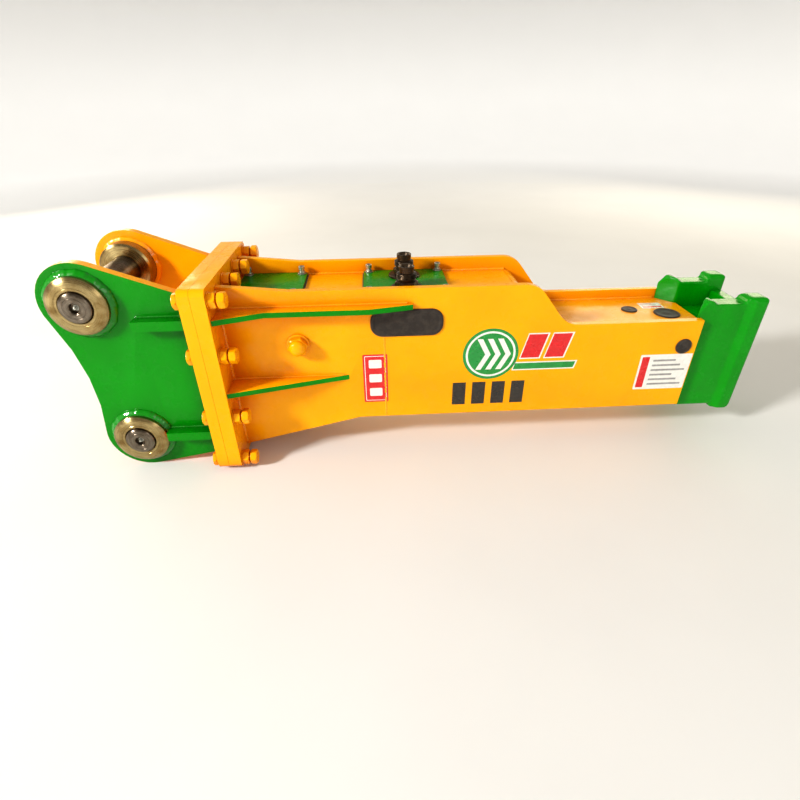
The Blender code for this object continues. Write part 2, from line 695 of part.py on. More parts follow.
# --------------------------------------------------------------- power cell
def cell_block(name, reach, finish, root):
    low = (-CELL_HALF_WIDTH, AXIS_Z - CELL_HALF_HEIGHT)
    high = (CELL_HALF_WIDTH, AXIS_Z + CELL_HALF_HEIGHT)
    return prism(name, rounded_rectangle(low, high, 14), "X", *reach, finish, root)


def bore(piece, low, high, radius, centre=(0.0, AXIS_Z), axis="X", segments=INNER_SEGMENTS):
    cut(piece, turned_form(((low, radius), (high, radius)), axis, centre, segments))


def through_bolt_places():
    across, rise = THROUGH_BOLT
    return [(y, AXIS_Z + z) for y in (-across, across) for z in (-rise, rise)]


def build_back_head(root):
    low, high = BACK_HEAD_X
    head = cell_block("back_head", BACK_HEAD_X, "black_steel", root)
    lug = (SIDE_BOLT[0] - 30, SIDE_BOLT[0] + 30)
    join(head, box_form((lug[0], -CELL_HALF_WIDTH + 1, 40), (lug[1], CELL_HALF_WIDTH - 1, 94)))
    bore(head, low + 45, high + 5, 42)
    for place in through_bolt_places():
        bore(head, low - 5, high + 5, THROUGH_BOLT_RADIUS + BOLT_CLEARANCE, place, segments=10)
        bore(head, low - 5, low + 22, 21, place, segments=12)
    for side in (-1, 1):
        ends = sorted((side * 63, side * 90))
        bore(head, *ends, 14.6, SIDE_BOLT, "Y", 16)
    top = AXIS_Z + CELL_HALF_HEIGHT
    bore(head, top - 28, top + 5, 12.5, (GAS_VALVE_X, 0.0), "Z", 16)
    bore(head, AXIS_Z, top - 20, 4, (GAS_VALVE_X, 0.0), "Z", 12)


def build_cylinder(root):
    low, high = CYLINDER_X
    cylinder = cell_block("cylinder", CYLINDER_X, "black_steel", root)
    top = AXIS_Z + CELL_HALF_HEIGHT
    join(cylinder, box_form((VALVE_BLOCK_X[0], -80, top - 10),
                            (VALVE_BLOCK_X[1], 80, VALVE_BLOCK_TOP_Z)))
    bore(cylinder, low - 5, high + 5, 40.4)
    bore(cylinder, 330, 620, 48)
    bore(cylinder, 690, high + 5, 52)
    for place in through_bolt_places():
        bore(cylinder, low - 5, high + 5, THROUGH_BOLT_RADIUS + BOLT_CLEARANCE, place, segments=10)
    bore(cylinder, VALVE_BLOCK_X[0] - 5, 520, SPOOL_RADIUS + 0.6, (0.0, VALVE_Z), segments=16)
    for y in (-PORT_Y, PORT_Y):
        bore(cylinder, VALVE_BLOCK_TOP_Z - 28, VALVE_BLOCK_TOP_Z + 5, 16.5, (PORT_X, y), "Z", 16)
    bore(cylinder, 20, VALVE_Z, 7, (420.0, 0.0), "Z", 12)


def build_front_head(root):
    low, high = FRONT_HEAD_X
    head = cell_block("front_head", (low, NOSE_START_X), "black_steel", root)
    wide, tall = NOSE_HALF
    nose = rounded_rectangle((-wide, AXIS_Z - tall), (wide, AXIS_Z + tall), 20)
    join(head, prism_form(nose, "X", NOSE_START_X - 10, high))
    bore(head, low - 5, 905, 56)
    bore(head, 900, high + 5, TOOL_RADIUS + 3)
    bore(head, RETAINER_X + 32, high + 5, LOWER_BUSH_RADIUS + GAP)
    bore(head, -90, 90, RETAINER_RADIUS + GAP, (RETAINER_X, RETAINER_Z), "Y", 24)
    for place in through_bolt_places():
        bore(head, low - 5, low + 80, THROUGH_BOLT_RADIUS + BOLT_CLEARANCE, place, segments=10)


def build_piston(root):
    """Hammer piston: gas end, oil bands and striking face, resting against its rear stop."""
    profile = (
        (160, 34), (164, 37), (345, 37), (345, 40), (375, 40), (375, 37.5), (395, 37.5),
        (395, 40), (560, 40), (560, 37), (838, 37), (842, 33),
    )
    turned("piston", profile, "steel", root, centre=(0.0, AXIS_Z), segments=INNER_SEGMENTS)


def build_valve(root):
    lands = (
        (365, 10), (365, SPOOL_RADIUS), (385, SPOOL_RADIUS), (385, 13), (405, 13),
        (405, SPOOL_RADIUS), (435, SPOOL_RADIUS), (435, 13), (455, 13), (455, SPOOL_RADIUS),
        (480, SPOOL_RADIUS), (480, 10),
    )
    turned("valve_spool", lands, "steel", root, centre=(0.0, VALVE_Z), segments=16, ring=True)
    low = VALVE_BLOCK_X[0]
    face = rounded_rectangle((-40, 64), (40, 130), 8)
    cover = prism("valve_cover", face, "X", low - 16, low - GAP, "black_steel", root)
    spigot = ((low - 10, SPOOL_RADIUS - 0.5), (low + 22, SPOOL_RADIUS - 0.5))
    join(cover, turned_form(spigot, centre=(0.0, VALVE_Z), segments=16))


def build_sleeve(name, low, high, inner, outer, finish, root):
    profile = [(low, inner), (low, outer), (high, outer), (high, inner)]
    return turned(name, profile, finish, root, centre=(0.0, AXIS_Z), segments=INNER_SEGMENTS,
                  ring=True)


def build_tool_pin(root):
    """The tool retaining pin: it crosses the tool's flat and drives out sideways."""
    end = 82.0
    profile = ((-end, RETAINER_RADIUS - 3), (3 - end, RETAINER_RADIUS), (end - 3, RETAINER_RADIUS),
               (end, RETAINER_RADIUS - 3))
    turned("retaining_pin", profile, "steel", root, axis="Y",
           centre=(RETAINER_X, RETAINER_Z), segments=24)


def build_gas_valve(root):
    base = AXIS_Z + CELL_HALF_HEIGHT - 27
    profile = ((base, 12), (base + 28, 12), (base + 28, 17), (base + 40, 17), (base + 40, 11),
               (base + 62, 11), (base + 64, 8))
    turned("gas_valve", profile, "zinc", root, axis="Z", centre=(GAS_VALVE_X, 0.0), segments=16)


def build_through_bolts(root):
    low = BACK_HEAD_X[0] + 1
    end = FRONT_HEAD_X[0] + 75
    names = ("right_low", "right_high", "left_low", "left_high")
    for label, place in zip(names, through_bolt_places()):
        profile = ((low, 18), (low + 20, 18), (low + 20, THROUGH_BOLT_RADIUS),
                   (end, THROUGH_BOLT_RADIUS))
        turned(f"through_bolt_{label}", profile, "steel", root, centre=place, segments=16)


def build_buffer(root):
    outline = rounded_rectangle((-80, AXIS_Z - 72), (80, AXIS_Z + 72), 12)
    prism("top_buffer", outline, "X", *BUFFER_X, "polyurethane", root)


def build_cell(root):
    build_buffer(root)
    build_back_head(root)
    build_cylinder(root)
    build_front_head(root)
    build_piston(root)
    build_valve(root)
    build_sleeve("seal_retainer", 692, CYLINDER_X[1] - GAP, 37.4, 51.7, "bronze", root)
    build_sleeve("upper_bush", 846, 899.5, TOOL_RADIUS, 55.7, "bronze", root)
    build_sleeve("lower_bush", RETAINER_X + 33, FRONT_HEAD_X[1] + 4, TOOL_RADIUS, LOWER_BUSH_RADIUS,
                 "bronze", root)
    build_tool_pin(root)
    build_gas_valve(root)
    build_through_bolts(root)


# --------------------------------------------------------------------- main
def build_root():
    """The empty that moves the flange frame to the middle of the breaker's underside."""
    back = UPPER_PIN[0] - LOBE_RADIUS
    low = LOWER_PIN[1] - LOBE_RADIUS
    root = bpy.data.objects.new("breaker", None)
    root.location = Vector((-(back + BAR_FRONT_X) / 2, 0.0, -low)) * MM
    bpy.context.scene.collection.objects.link(root)
    return root


def main():
    clear_scene()
    root = build_root()
    build_bracket(root)
    build_box_flange(root)
    build_flange_bolts(root)
    for side, label in ((-1, "right"), (1, "left")):
        build_side_plate(side, label, root)
        build_claw(side, label, root)
    build_top_plates(root)
    build_bottom_plate(root)
    build_nose_plates(root)
    build_covers(root)
    build_adaptors(root)
    build_plugs(root)
    build_side_bolts(root)
    build_cell(root)
    bpy.context.view_layer.update()


main()
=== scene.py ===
"""Looks of the hydraulic breaker hammer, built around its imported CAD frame.

Sizes are in millimetres in the flange frame: X = 0 is the seam between the two flanges,
Y = 0 the plane of symmetry and Z = 0 the middle of the flanges.  place() turns such a
point into the row frame.  Side -1 is the right-hand (near) side and +1 the left-hand one.
"""
import json
import math
import random

import bmesh
import bpy
from mathutils import Matrix, Vector, noise


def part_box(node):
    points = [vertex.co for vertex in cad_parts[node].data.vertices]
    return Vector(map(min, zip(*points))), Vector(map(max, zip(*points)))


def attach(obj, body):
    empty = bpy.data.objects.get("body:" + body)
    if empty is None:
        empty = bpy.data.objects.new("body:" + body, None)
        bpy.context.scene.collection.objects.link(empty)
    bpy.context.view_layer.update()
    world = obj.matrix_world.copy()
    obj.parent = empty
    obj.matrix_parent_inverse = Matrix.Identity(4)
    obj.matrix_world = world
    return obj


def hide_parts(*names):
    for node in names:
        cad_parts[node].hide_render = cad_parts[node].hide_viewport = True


MM = 0.001
GAP = 0.3
SIDES = ((-1, "right"), (1, "left"))
EDGES = ((-1, "low"), (1, "high"))

# Bracket and flange joint: the gussets are (name, rear end in X, middle in Z, length)
EAR_INNER_Y = 122.5
EAR_OUTER_Y = 143.0
FLANGE_BACK = -25.0
BOX_FLANGE = 30.0
COLLAR_RADIUS = 62.0
COLLAR_OUTER_Y = 165.0
COLLAR_INNER_Y = 85.0
GUSSETS = (("upper", -140.0, 142.0, 114.0), ("lower", -136.0, -140.0, 110.0))
PIN_RADIUS = 32.5
BOLT_FLAT = 15.7
NUT_HEIGHT = 17.0
NUT_CHAMFER = 2.2
NUT_POINTS = 48
WASHER = 2.4
SHANK = 10.8
THREAD_CREST = 10.9
THREAD_ROOT = 10.1
THREAD_PITCH = 1.0

# Box: the ribs are (name, middle of the thickness in Z, front end in X)
SIDE_OUTER_Y = 117.0
SIDE_INNER_Y = 101.0
RIBS = (("upper", 151.0, 450.0), ("lower", -23.0, 300.0))
BOX_FRONT = 1116.0
SLOT_PLUG_CORNER = 27.0

# Weld beads and the thickness of a sticker
BEAD_STEP = 2.6
BEAD_CORNERS = 10
VINYL = 0.2

# Studio: area lights are (name, place in metres, width, height, watts, colour)
SKY_LOW = 0.34
SKY_HIGH = 0.26
WALL_GLOW = 0.42
UPPER_GLOW = 0.24
FLOOR_FLAT = 6.0
FLOOR_CURVE = 6.0
FLOOR_SEGMENTS = 96
LIGHTS = (
    ("key", (-4.6, -2.6, 3.0), 0.8, 0.8, 340, (1.0, 0.98, 0.94)),
    ("fill", (1.6, -3.2, 1.6), 1.8, 1.2, 17, (1.0, 0.98, 0.95)),
    ("top", (0.3, 0.3, 3.0), 3.0, 1.0, 6, (1.0, 1.0, 1.0)),
    ("back_left", (-2.6, 2.8, 1.3), 2.0, 1.2, 34, (1.0, 0.84, 0.60)),
    ("back_right", (2.8, 2.8, 1.7), 2.4, 1.4, 30, (1.0, 0.88, 0.66)),
)

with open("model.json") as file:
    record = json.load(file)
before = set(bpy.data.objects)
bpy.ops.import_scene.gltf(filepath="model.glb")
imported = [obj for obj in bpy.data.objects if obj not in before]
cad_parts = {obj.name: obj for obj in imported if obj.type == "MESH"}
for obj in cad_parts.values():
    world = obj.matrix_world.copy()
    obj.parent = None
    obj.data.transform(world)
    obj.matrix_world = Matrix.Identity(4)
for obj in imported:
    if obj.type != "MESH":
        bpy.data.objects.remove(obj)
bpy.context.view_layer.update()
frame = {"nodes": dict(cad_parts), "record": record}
SLOTS = {part["node"]: part["material_slot"] for part in frame["record"]["subparts"]}


def flange_origin():
    low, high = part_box("box_flange")
    return Vector((low.x - GAP / 2 * MM, 0.0, (low.z + high.z) / 2))


ORIGIN = flange_origin()


def place(x, y, z):
    """A point of the flange frame, in metres in the row frame."""
    return ORIGIN + Vector((x, y, z)) * MM


def box_mm(node):
    """A node's lowest and highest corners, in millimetres in the flange frame."""
    low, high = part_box(node)
    return (low - ORIGIN) / MM, (high - ORIGIN) / MM


# ---------------------------------------------------------------- materials
class Nodes:
    """Small helper that adds linked shader nodes to one material."""

    def __init__(self, name, roughness, metallic=0.0, **constants):
        self.material = bpy.data.materials.new(name)
        self.material.use_nodes = True
        self.tree = self.material.node_tree
        self.shader = self.tree.nodes["Principled BSDF"]
        self.shader.inputs["Roughness"].default_value = roughness
        self.shader.inputs["Metallic"].default_value = metallic
        for socket, value in constants.items():
            self.shader.inputs[socket.replace("_", " ")].default_value = value

    def add(self, kind, **values):
        node = self.tree.nodes.new("ShaderNode" + kind)
        for key, value in values.items():
            if hasattr(node, key):
                setattr(node, key, value)
            else:
                node.inputs[key.replace("_", " ")].default_value = value
        return node

    def link(self, source, target):
        self.tree.links.new(source, target)

    def coordinates(self, stretch=(1, 1, 1)):
        texture = self.add("TexCoord")
        mapping = self.add("Mapping", Scale=stretch)
        self.link(texture.outputs["Object"], mapping.inputs["Vector"])
        return mapping.outputs["Vector"]

    def noise(self, scale, detail=4.0, roughness=0.5, vector=None):
        node = self.add("TexNoise", Scale=scale, Detail=detail, Roughness=roughness)
        self.link(vector or self.coordinates(), node.inputs["Vector"])
        return node.outputs["Fac"]

    def spread(self, value, low, high, start=0.3, end=0.7):
        """Maps a value from start...end to low...high."""
        node = self.add("MapRange")
        for key, number in zip(("From Min", "From Max", "To Min", "To Max"),
                               (start, end, low, high)):
            node.inputs[key].default_value = number
        self.link(value, node.inputs["Value"])
        return node.outputs["Result"]

    def mix(self, share, first, second):
        node = self.add("Mix", data_type="RGBA")
        self.link(share, node.inputs["Factor"])
        for index, colour in ((6, first), (7, second)):
            if isinstance(colour, tuple):
                node.inputs[index].default_value = (*colour, 1.0)
            else:
                self.link(colour, node.inputs[index])
        return node.outputs[2]

    def crevice(self, distance):
        """1 in the open, falling towards 0 in corners; the mask for painted corner shade."""
        node = self.add("AmbientOcclusion", samples=6, Distance=distance)
        return node.outputs["AO"]

    def radial(self):
        """Distance from the piece's own turning axis, and its place along it."""
        texture = self.add("TexCoord")
        split = self.add("SeparateXYZ")
        self.link(texture.outputs["Object"], split.inputs["Vector"])
        flat = self.add("CombineXYZ")
        self.link(split.outputs["X"], flat.inputs["X"])
        self.link(split.outputs["Y"], flat.inputs["Y"])
        length = self.add("VectorMath", operation="LENGTH")
        self.link(flat.outputs["Vector"], length.inputs[0])
        rings = self.add("CombineXYZ")
        self.link(length.outputs["Value"], rings.inputs["X"])
        self.link(split.outputs["Z"], rings.inputs["Y"])
        return rings.outputs["Vector"]

    def bump(self, height, distance, strength=1.0, after=None):
        node = self.add("Bump", Distance=distance, Strength=strength)
        self.link(height, node.inputs["Height"])
        if after:
            self.link(after, node.inputs["Normal"])
        return node.outputs["Normal"]

    def finish(self, colour=None, roughness=None, normal=None):
        for socket, value in (("Base Color", colour), ("Roughness", roughness), ("Normal", normal)):
            if value is not None:
                self.link(value, self.shader.inputs[socket])
        if normal is not None and self.shader.inputs["Coat Weight"].default_value > 0:
            self.link(normal, self.shader.inputs["Coat Normal"])
        return self.material


def paint(name, light, deep, corner, peel=0.00006, gloss=0.18):
    """Glossy enamel: colour drifts a little, painted shade deepens it in corners, with orange peel
    and sags.
    """
    nodes = Nodes(name, 0.25, Coat_Weight=gloss, Coat_Roughness=0.05, Specular_IOR_Level=0.16)
    drift = nodes.spread(nodes.noise(6.0, 3.0), 0.0, 1.0)
    colour = nodes.mix(drift, light, deep)
    # Painted shade: an ambient occlusion mask darkens the colour towards the corner colour in
    # corners and between parts.
    shade = nodes.spread(nodes.crevice(0.055), 0.85, 0.0, 0.30, 0.92)
    colour = nodes.mix(shade, colour, corner)
    grit = nodes.spread(nodes.noise(420.0, 2.0), 0.0, 0.10, 0.62, 0.75)
    colour = nodes.mix(grit, colour, (0.30, 0.24, 0.14))
    roughness = nodes.spread(nodes.noise(18.0, 5.0, 0.6), 0.20, 0.36)
    normal = nodes.bump(nodes.noise(9.0, 2.0), 0.0030)
    normal = nodes.bump(nodes.noise(260.0, 2.0), peel, after=normal)
    return nodes.finish(colour, roughness, normal)


def cast_paint(name, light, deep, corner):
    """The same enamel over a cast surface, thicker and more uneven."""
    nodes = Nodes(name, 0.22, Coat_Weight=0.25, Coat_Roughness=0.04, Specular_IOR_Level=0.18)
    colour = nodes.mix(nodes.spread(nodes.noise(11.0, 3.0), 0.0, 1.0), light, deep)
    # Painted shade: ambient occlusion darkens the colour towards the corner colour in corners.
    shade = nodes.spread(nodes.crevice(0.035), 0.7, 0.0, 0.25, 0.85)
    colour = nodes.mix(shade, colour, corner)
    roughness = nodes.spread(nodes.noise(30.0, 4.0), 0.18, 0.32)
    normal = nodes.bump(nodes.noise(28.0, 3.0), 0.0022)
    normal = nodes.bump(nodes.noise(190.0, 3.0), 0.00014, after=normal)
    return nodes.finish(colour, roughness, normal)


def turned_steel(name, light, dark, roughness=0.24):
    """Bare steel off the lathe: fine rings, light oil stains and a stretched highlight."""
    nodes = Nodes(name, roughness, 1.0, Anisotropic=0.85, Anisotropic_Rotation=0.25)
    rings = nodes.radial()
    groove = nodes.noise(1500.0, 3.0, 0.7, rings)
    stain = nodes.spread(nodes.noise(34.0, 4.0, 0.6), 0.0, 1.0, 0.42, 0.66)
    colour = nodes.mix(stain, light, dark)
    band = nodes.spread(nodes.noise(190.0, 2.0, 0.5, rings), 0.0, 0.45, 0.40, 0.62)
    colour = nodes.mix(band, colour, tuple(0.55 * part for part in light))
    tangent = nodes.add("Tangent", direction_type="RADIAL", axis="Z")
    nodes.link(tangent.outputs["Tangent"], nodes.shader.inputs["Tangent"])
    wear = nodes.spread(groove, roughness - 0.08, roughness + 0.14)
    return nodes.finish(colour, wear, nodes.bump(groove, 0.00004))


def dull_metal(name, light, dark, roughness, pit=0.00025):
    """Rolled or forged metal with blotches, scale and fine pits, and painted shade in its corners.
    """
    nodes = Nodes(name, roughness, 0.85)
    blotch = nodes.spread(nodes.noise(26.0, 6.0, 0.65), 0.0, 1.0, 0.35, 0.65)
    colour = nodes.mix(blotch, light, dark)
    # Painted shade: ambient occlusion darkens the colour in corners.
    shade = nodes.spread(nodes.crevice(0.02), 0.6, 0.0, 0.25, 0.85)
    colour = nodes.mix(shade, colour, tuple(0.4 * part for part in dark))
    finish = nodes.spread(nodes.noise(90.0, 4.0), roughness - 0.08, roughness + 0.12)
    return nodes.finish(colour, finish, nodes.bump(nodes.noise(320.0, 4.0), pit))


def moulded(name, light, dark, roughness, grain=0.00016):
    """Rubber or polyurethane: dust in the grain and a soft, uneven sheen."""
    nodes = Nodes(name, roughness, Sheen_Weight=0.15, Specular_IOR_Level=0.4)
    dust = nodes.spread(nodes.noise(60.0, 6.0, 0.7), 0.0, 1.0, 0.45, 0.72)
    colour = nodes.mix(dust, light, dark)
    finish = nodes.spread(nodes.noise(45.0, 3.0), roughness - 0.1, roughness + 0.08)
    return nodes.finish(colour, finish, nodes.bump(nodes.noise(700.0, 3.0), grain))


def vinyl(name, light, dark):
    """A glossy sticker with slight print mottle and a rippled surface."""
    nodes = Nodes(name, 0.28, Coat_Weight=0.4, Coat_Roughness=0.1)
    colour = nodes.mix(nodes.spread(nodes.noise(150.0, 3.0), 0.0, 1.0), light, dark)
    finish = nodes.spread(nodes.noise(40.0, 3.0), 0.22, 0.36)
    return nodes.finish(colour, finish, nodes.bump(nodes.noise(35.0, 2.0), 0.0004))


# The third colour of each enamel is the deep colour of its painted corner shade.
YELLOW = paint("yellow_enamel", (1.0, 0.44, 0.0), (0.95, 0.385, 0.0), (0.66, 0.13, 0.0))
GREEN = paint("green_enamel", (0.0, 0.265, 0.002), (0.0, 0.225, 0.001), (0.0, 0.085, 0.002))
YELLOW_BEAD = paint("yellow_weld_enamel", (1.0, 0.44, 0.0), (0.90, 0.34, 0.0),
                    (0.66, 0.13, 0.0), peel=0.0002, gloss=0.8)
GREEN_BEAD = paint("green_weld_enamel", (0.0, 0.265, 0.002), (0.0, 0.20, 0.001),
                   (0.0, 0.085, 0.002), peel=0.0002, gloss=0.8)
CAST_GREEN = cast_paint("green_cast_enamel", (0.0, 0.30, 0.003), (0.0, 0.25, 0.002),
                        (0.0, 0.12, 0.004))
COLLAR_STEEL = turned_steel("collar_steel", (0.46, 0.355, 0.17), (0.24, 0.15, 0.05), 0.25)
PIN_STEEL = turned_steel("pin_steel", (0.25, 0.21, 0.165), (0.12, 0.09, 0.06), 0.28)
BRIGHT_STEEL = turned_steel("ground_steel", (0.66, 0.66, 0.65), (0.50, 0.49, 0.46), 0.16)
BRONZE = turned_steel("bronze", (0.62, 0.42, 0.19), (0.42, 0.26, 0.10), 0.28)
BLACK_STEEL = dull_metal("black_steel", (0.050, 0.042, 0.034), (0.085, 0.055, 0.032), 0.34)
CAST_IRON = dull_metal("forged_steel", (0.10, 0.095, 0.09), (0.16, 0.13, 0.10), 0.50, 0.0005)
ZINC = dull_metal("zinc", (0.58, 0.60, 0.56), (0.44, 0.43, 0.36), 0.30, 0.0001)
# A dark sheet in the seam between the flanges: painted shade standing in for the shadow in the gap.
FLANGE_GAP_SHADE = moulded("joint_grime", (0.05, 0.018, 0.004), (0.10, 0.035, 0.006), 0.7)
RUBBER = moulded("rubber", (0.022, 0.016, 0.012), (0.055, 0.042, 0.032), 0.58)
POLYURETHANE = moulded("polyurethane", (0.52, 0.22, 0.04), (0.42, 0.17, 0.03), 0.50)
RED_VINYL = vinyl("red_vinyl", (0.72, 0.012, 0.016), (0.60, 0.010, 0.012))
WHITE_VINYL = vinyl("white_vinyl", (0.86, 0.85, 0.80), (0.78, 0.77, 0.72))
GREEN_VINYL = vinyl("green_vinyl", (0.01, 0.30, 0.05), (0.01, 0.24, 0.04))
BLACK_VINYL = vinyl("black_vinyl", (0.016, 0.014, 0.012), (0.03, 0.026, 0.022))
GREY_VINYL = vinyl("grey_vinyl", (0.36, 0.35, 0.34), (0.28, 0.27, 0.26))


# -------------------------------------------------------------------- pieces
def show(name, form, material, body="housing", nodes=(), slot=None, matrix=None,
         bevel=0.0, steps=3, angle=35, raw=False):
    """Turns a bmesh (millimetres, flange frame) into a piece that rides on a body."""
    bmesh.ops.recalc_face_normals(form, faces=form.faces)
    if matrix is None and not raw:
        form.transform(Matrix.Translation(ORIGIN) @ Matrix.Scale(MM, 4))
    elif matrix is not None:
        form.transform(Matrix.Scale(MM, 4))
    mesh = bpy.data.meshes.new(name)
    form.to_mesh(mesh)
    form.free()
    mesh.shade_smooth()
    mesh.set_sharp_from_angle(angle=math.radians(angle))
    piece = bpy.data.objects.new(name, mesh)
    bpy.context.scene.collection.objects.link(piece)
    if matrix is not None:
        piece.matrix_world = matrix
    for item in material if isinstance(material, (list, tuple)) else (material,):
        mesh.materials.append(item)
    if bevel:
        edge = piece.modifiers.new("edges", "BEVEL")
        edge.width = bevel * MM
        edge.segments = steps
        edge.limit_method = "ANGLE"
        edge.angle_limit = math.radians(angle)
        edge.use_clamp_overlap = True
        edge.harden_normals = True
    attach(piece, body)
    if nodes:
        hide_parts(*nodes)
    return piece


def prism_form(outline, axis, low, high):
    """A bmesh prism; the outline gives the other two axes in X, Y, Z order."""
    form = bmesh.new()
    index = "XYZ".index(axis)

    def spot(point, level):
        values = list(point)
        values.insert(index, level)
        return values

    face = form.faces.new([form.verts.new(spot(point, low)) for point in outline])
    moved = bmesh.ops.extrude_face_region(form, geom=[face])
    tops = [item for item in moved["geom"] if isinstance(item, bmesh.types.BMVert)]
    bmesh.ops.translate(form, vec=Vector(spot((0, 0), high - low)), verts=tops)
    return form


def skin(form, loops, caps=(0, -1), ring=False):
    """Joins loops of points into a surface: capped at the named loops, or closed on itself."""
    for end in () if ring else caps:
        form.faces.new(loops[end])
    following = loops[1:] + loops[:1] if ring else loops[1:]
    for first, second in zip(loops, following):
        for index, corner in enumerate(first):
            after = (index + 1) % len(first)
            form.faces.new((corner, first[after], second[after], second[index]))


AXES = {
    "X": Matrix.Rotation(math.radians(90), 4, "Y"),
    "Y": Matrix.Rotation(math.radians(-90), 4, "X"),
    "Z": Matrix.Identity(4),
}


def axis_matrix(axis, centre):
    """Puts a piece's own Z along a row axis, with its origin at a point in millimetres."""
    return Matrix.Translation(place(*centre)) @ AXES[axis]


def turned(name, profile, material, axis, centre, segments=72, ring=False, **options):
    """Revolves (station, radius) points about the piece's own Z, from a centre point."""
    form = bmesh.new()
    loops = []
    for station, radius in profile:
        loop = []
        for index in range(segments):
            turn = math.tau * index / segments
            loop.append(form.verts.new((radius * math.cos(turn), radius * math.sin(turn), station)))
        loops.append(loop)
    skin(form, loops, ring=ring)
    return show(name, form, material, matrix=axis_matrix(axis, centre), **options)


def to_side(side, profile):
    """A profile drawn for the left-hand side, turned to face the given side."""
    return [(side * station, radius) for station, radius in profile]


def arc(centre, radius, start, end, step=6.0):
    """Points of an arc from one angle to another, in degrees."""
    count = max(2, round(abs(end - start) / step))
    points = []
    for index in range(count + 1):
        turn = math.radians(start + (end - start) * index / count)
        points.append((centre[0] + radius * math.cos(turn), centre[1] + radius * math.sin(turn)))
    return points


def rounded(low, high, radius):
    """A rectangle with rounded corners, from its lowest and highest corner."""
    left, right = low[0] + radius, high[0] - radius
    bottom, top = low[1] + radius, high[1] - radius
    points = []
    for centre, start in (((right, top), 0), ((left, top), 90),
                          ((left, bottom), 180), ((right, bottom), 270)):
        points += arc(centre, radius, start, start + 90)
    return points


def node_form(node, merge_faces=True):
    """A bmesh copy of a CAD node in metres, with its points and, if asked, flat faces merged."""
    form = bmesh.new()
    form.from_mesh(frame["nodes"][node].data)
    bmesh.ops.remove_doubles(form, verts=form.verts, dist=0.02 * MM)
    if merge_faces:
        bmesh.ops.dissolve_limit(form, angle_limit=math.radians(1.0), verts=form.verts,
                                 edges=form.edges)
    return form


def refined(node, material, bevel, angle=35, paint_face=None):
    """A copy of a CAD node with its flat faces merged and its edges rounded.

    paint_face, if given, takes a face's normal and centre (millimetres) and returns the
    index of its material."""
    form = node_form(node)
    bmesh.ops.recalc_face_normals(form, faces=form.faces)
    if paint_face:
        for face in form.faces:
            face.material_index = paint_face(face.normal, (face.calc_center_median() - ORIGIN) / MM)
    return show(node + "_finished", form, material, nodes=(node,), slot=SLOTS[node], bevel=bevel,
                angle=angle, raw=True)


def cast(node, material, voxel, smooth):
    """A copy of a CAD node with soft, filleted edges like a casting or a forging."""
    piece = show(node + "_finished", node_form(node, merge_faces=False), material, nodes=(node,),
                 slot=SLOTS[node], raw=True, angle=180)
    remesh = piece.modifiers.new("skin", "REMESH")
    remesh.mode = "VOXEL"
    remesh.voxel_size = voxel * MM
    remesh.use_smooth_shade = True
    soften = piece.modifiers.new("soften", "SMOOTH")
    soften.factor = 0.5
    soften.iterations = smooth
    return piece


def bead(name, path, radius, material, seed):
    """A painted weld bead along a path in millimetres, with ripples every few millimetres."""
    points = [Vector(point) for point in path]
    dense = []
    for first, second in zip(points, points[1:]):
        count = max(1, round((second - first).length / BEAD_STEP))
        dense += [first.lerp(second, index / count) for index in range(count)]
    dense.append(points[-1])
    form = bmesh.new()
    loops = []
    last = len(dense) - 1
    for index, point in enumerate(dense):
        ahead = dense[min(index + 1, last)] - dense[max(index - 1, 0)]
        ahead.normalize()
        across = Vector((0, 1, 0)) if abs(ahead.y) < 0.9 else Vector((0, 0, 1))
        side = (across - ahead * across.dot(ahead)).normalized()
        up = ahead.cross(side)
        drift = noise.noise(point * 0.06 + Vector((seed, 0, 0)))
        swell = 1.0 + 0.10 * math.sin(index * 1.9 + seed) + 0.22 * drift
        loop = []
        for corner in range(BEAD_CORNERS):
            turn = math.tau * corner / BEAD_CORNERS
            offset = side * math.cos(turn) + up * math.sin(turn)
            loop.append(form.verts.new(point + offset * radius * swell))
        loops.append(loop)
    skin(form, loops)
    return show(name, form, material, angle=70)


# ------------------------------------------------------------------ bracket
def pin_centre(node):
    low, high = box_mm(node)
    return ((low.x + high.x) / 2, (low.z + high.z) / 2)


PINS = {label: pin_centre(f"{label}_pin") for label in ("upper", "lower")}


def green_outside(side):
    """Material index for an ear: 1 where the outer face and its gussets are green."""
    def choose(normal, centre):
        outward = side * centre.y > EAR_OUTER_Y - 0.5 and normal.x > -0.9
        return 1 if outward or side * normal.y > 0.7 else 0
    return choose


def build_ears():
    for side, hand in SIDES:
        refined(f"bracket_ear_{hand}", (YELLOW, GREEN), 1.6, paint_face=green_outside(side))
        for label in PINS:
            collar_weld(label, side, hand, "outer", GREEN_BEAD)
            collar_weld(label, side, hand, "inner", YELLOW_BEAD)
        for name, x, z, length in GUSSETS:
            for edge, level in EDGES:
                bead(f"{name}_gusset_weld_{level}_{hand}",
                     [(x + 2, side * EAR_OUTER_Y, z + edge * 11.5),
                      (x + length - 2, side * EAR_OUTER_Y, z + edge * 11.5)],
                     3.4, GREEN_BEAD, seed=x)
        for face, y, material in (("outer", EAR_OUTER_Y, GREEN_BEAD),
                                  ("inner", EAR_INNER_Y, YELLOW_BEAD)):
            bead(f"ear_flange_weld_{face}_{hand}",
                 [(FLANGE_BACK, side * y, -176.0), (FLANGE_BACK, side * y, 192.0)],
                 4.6, material, seed=y)


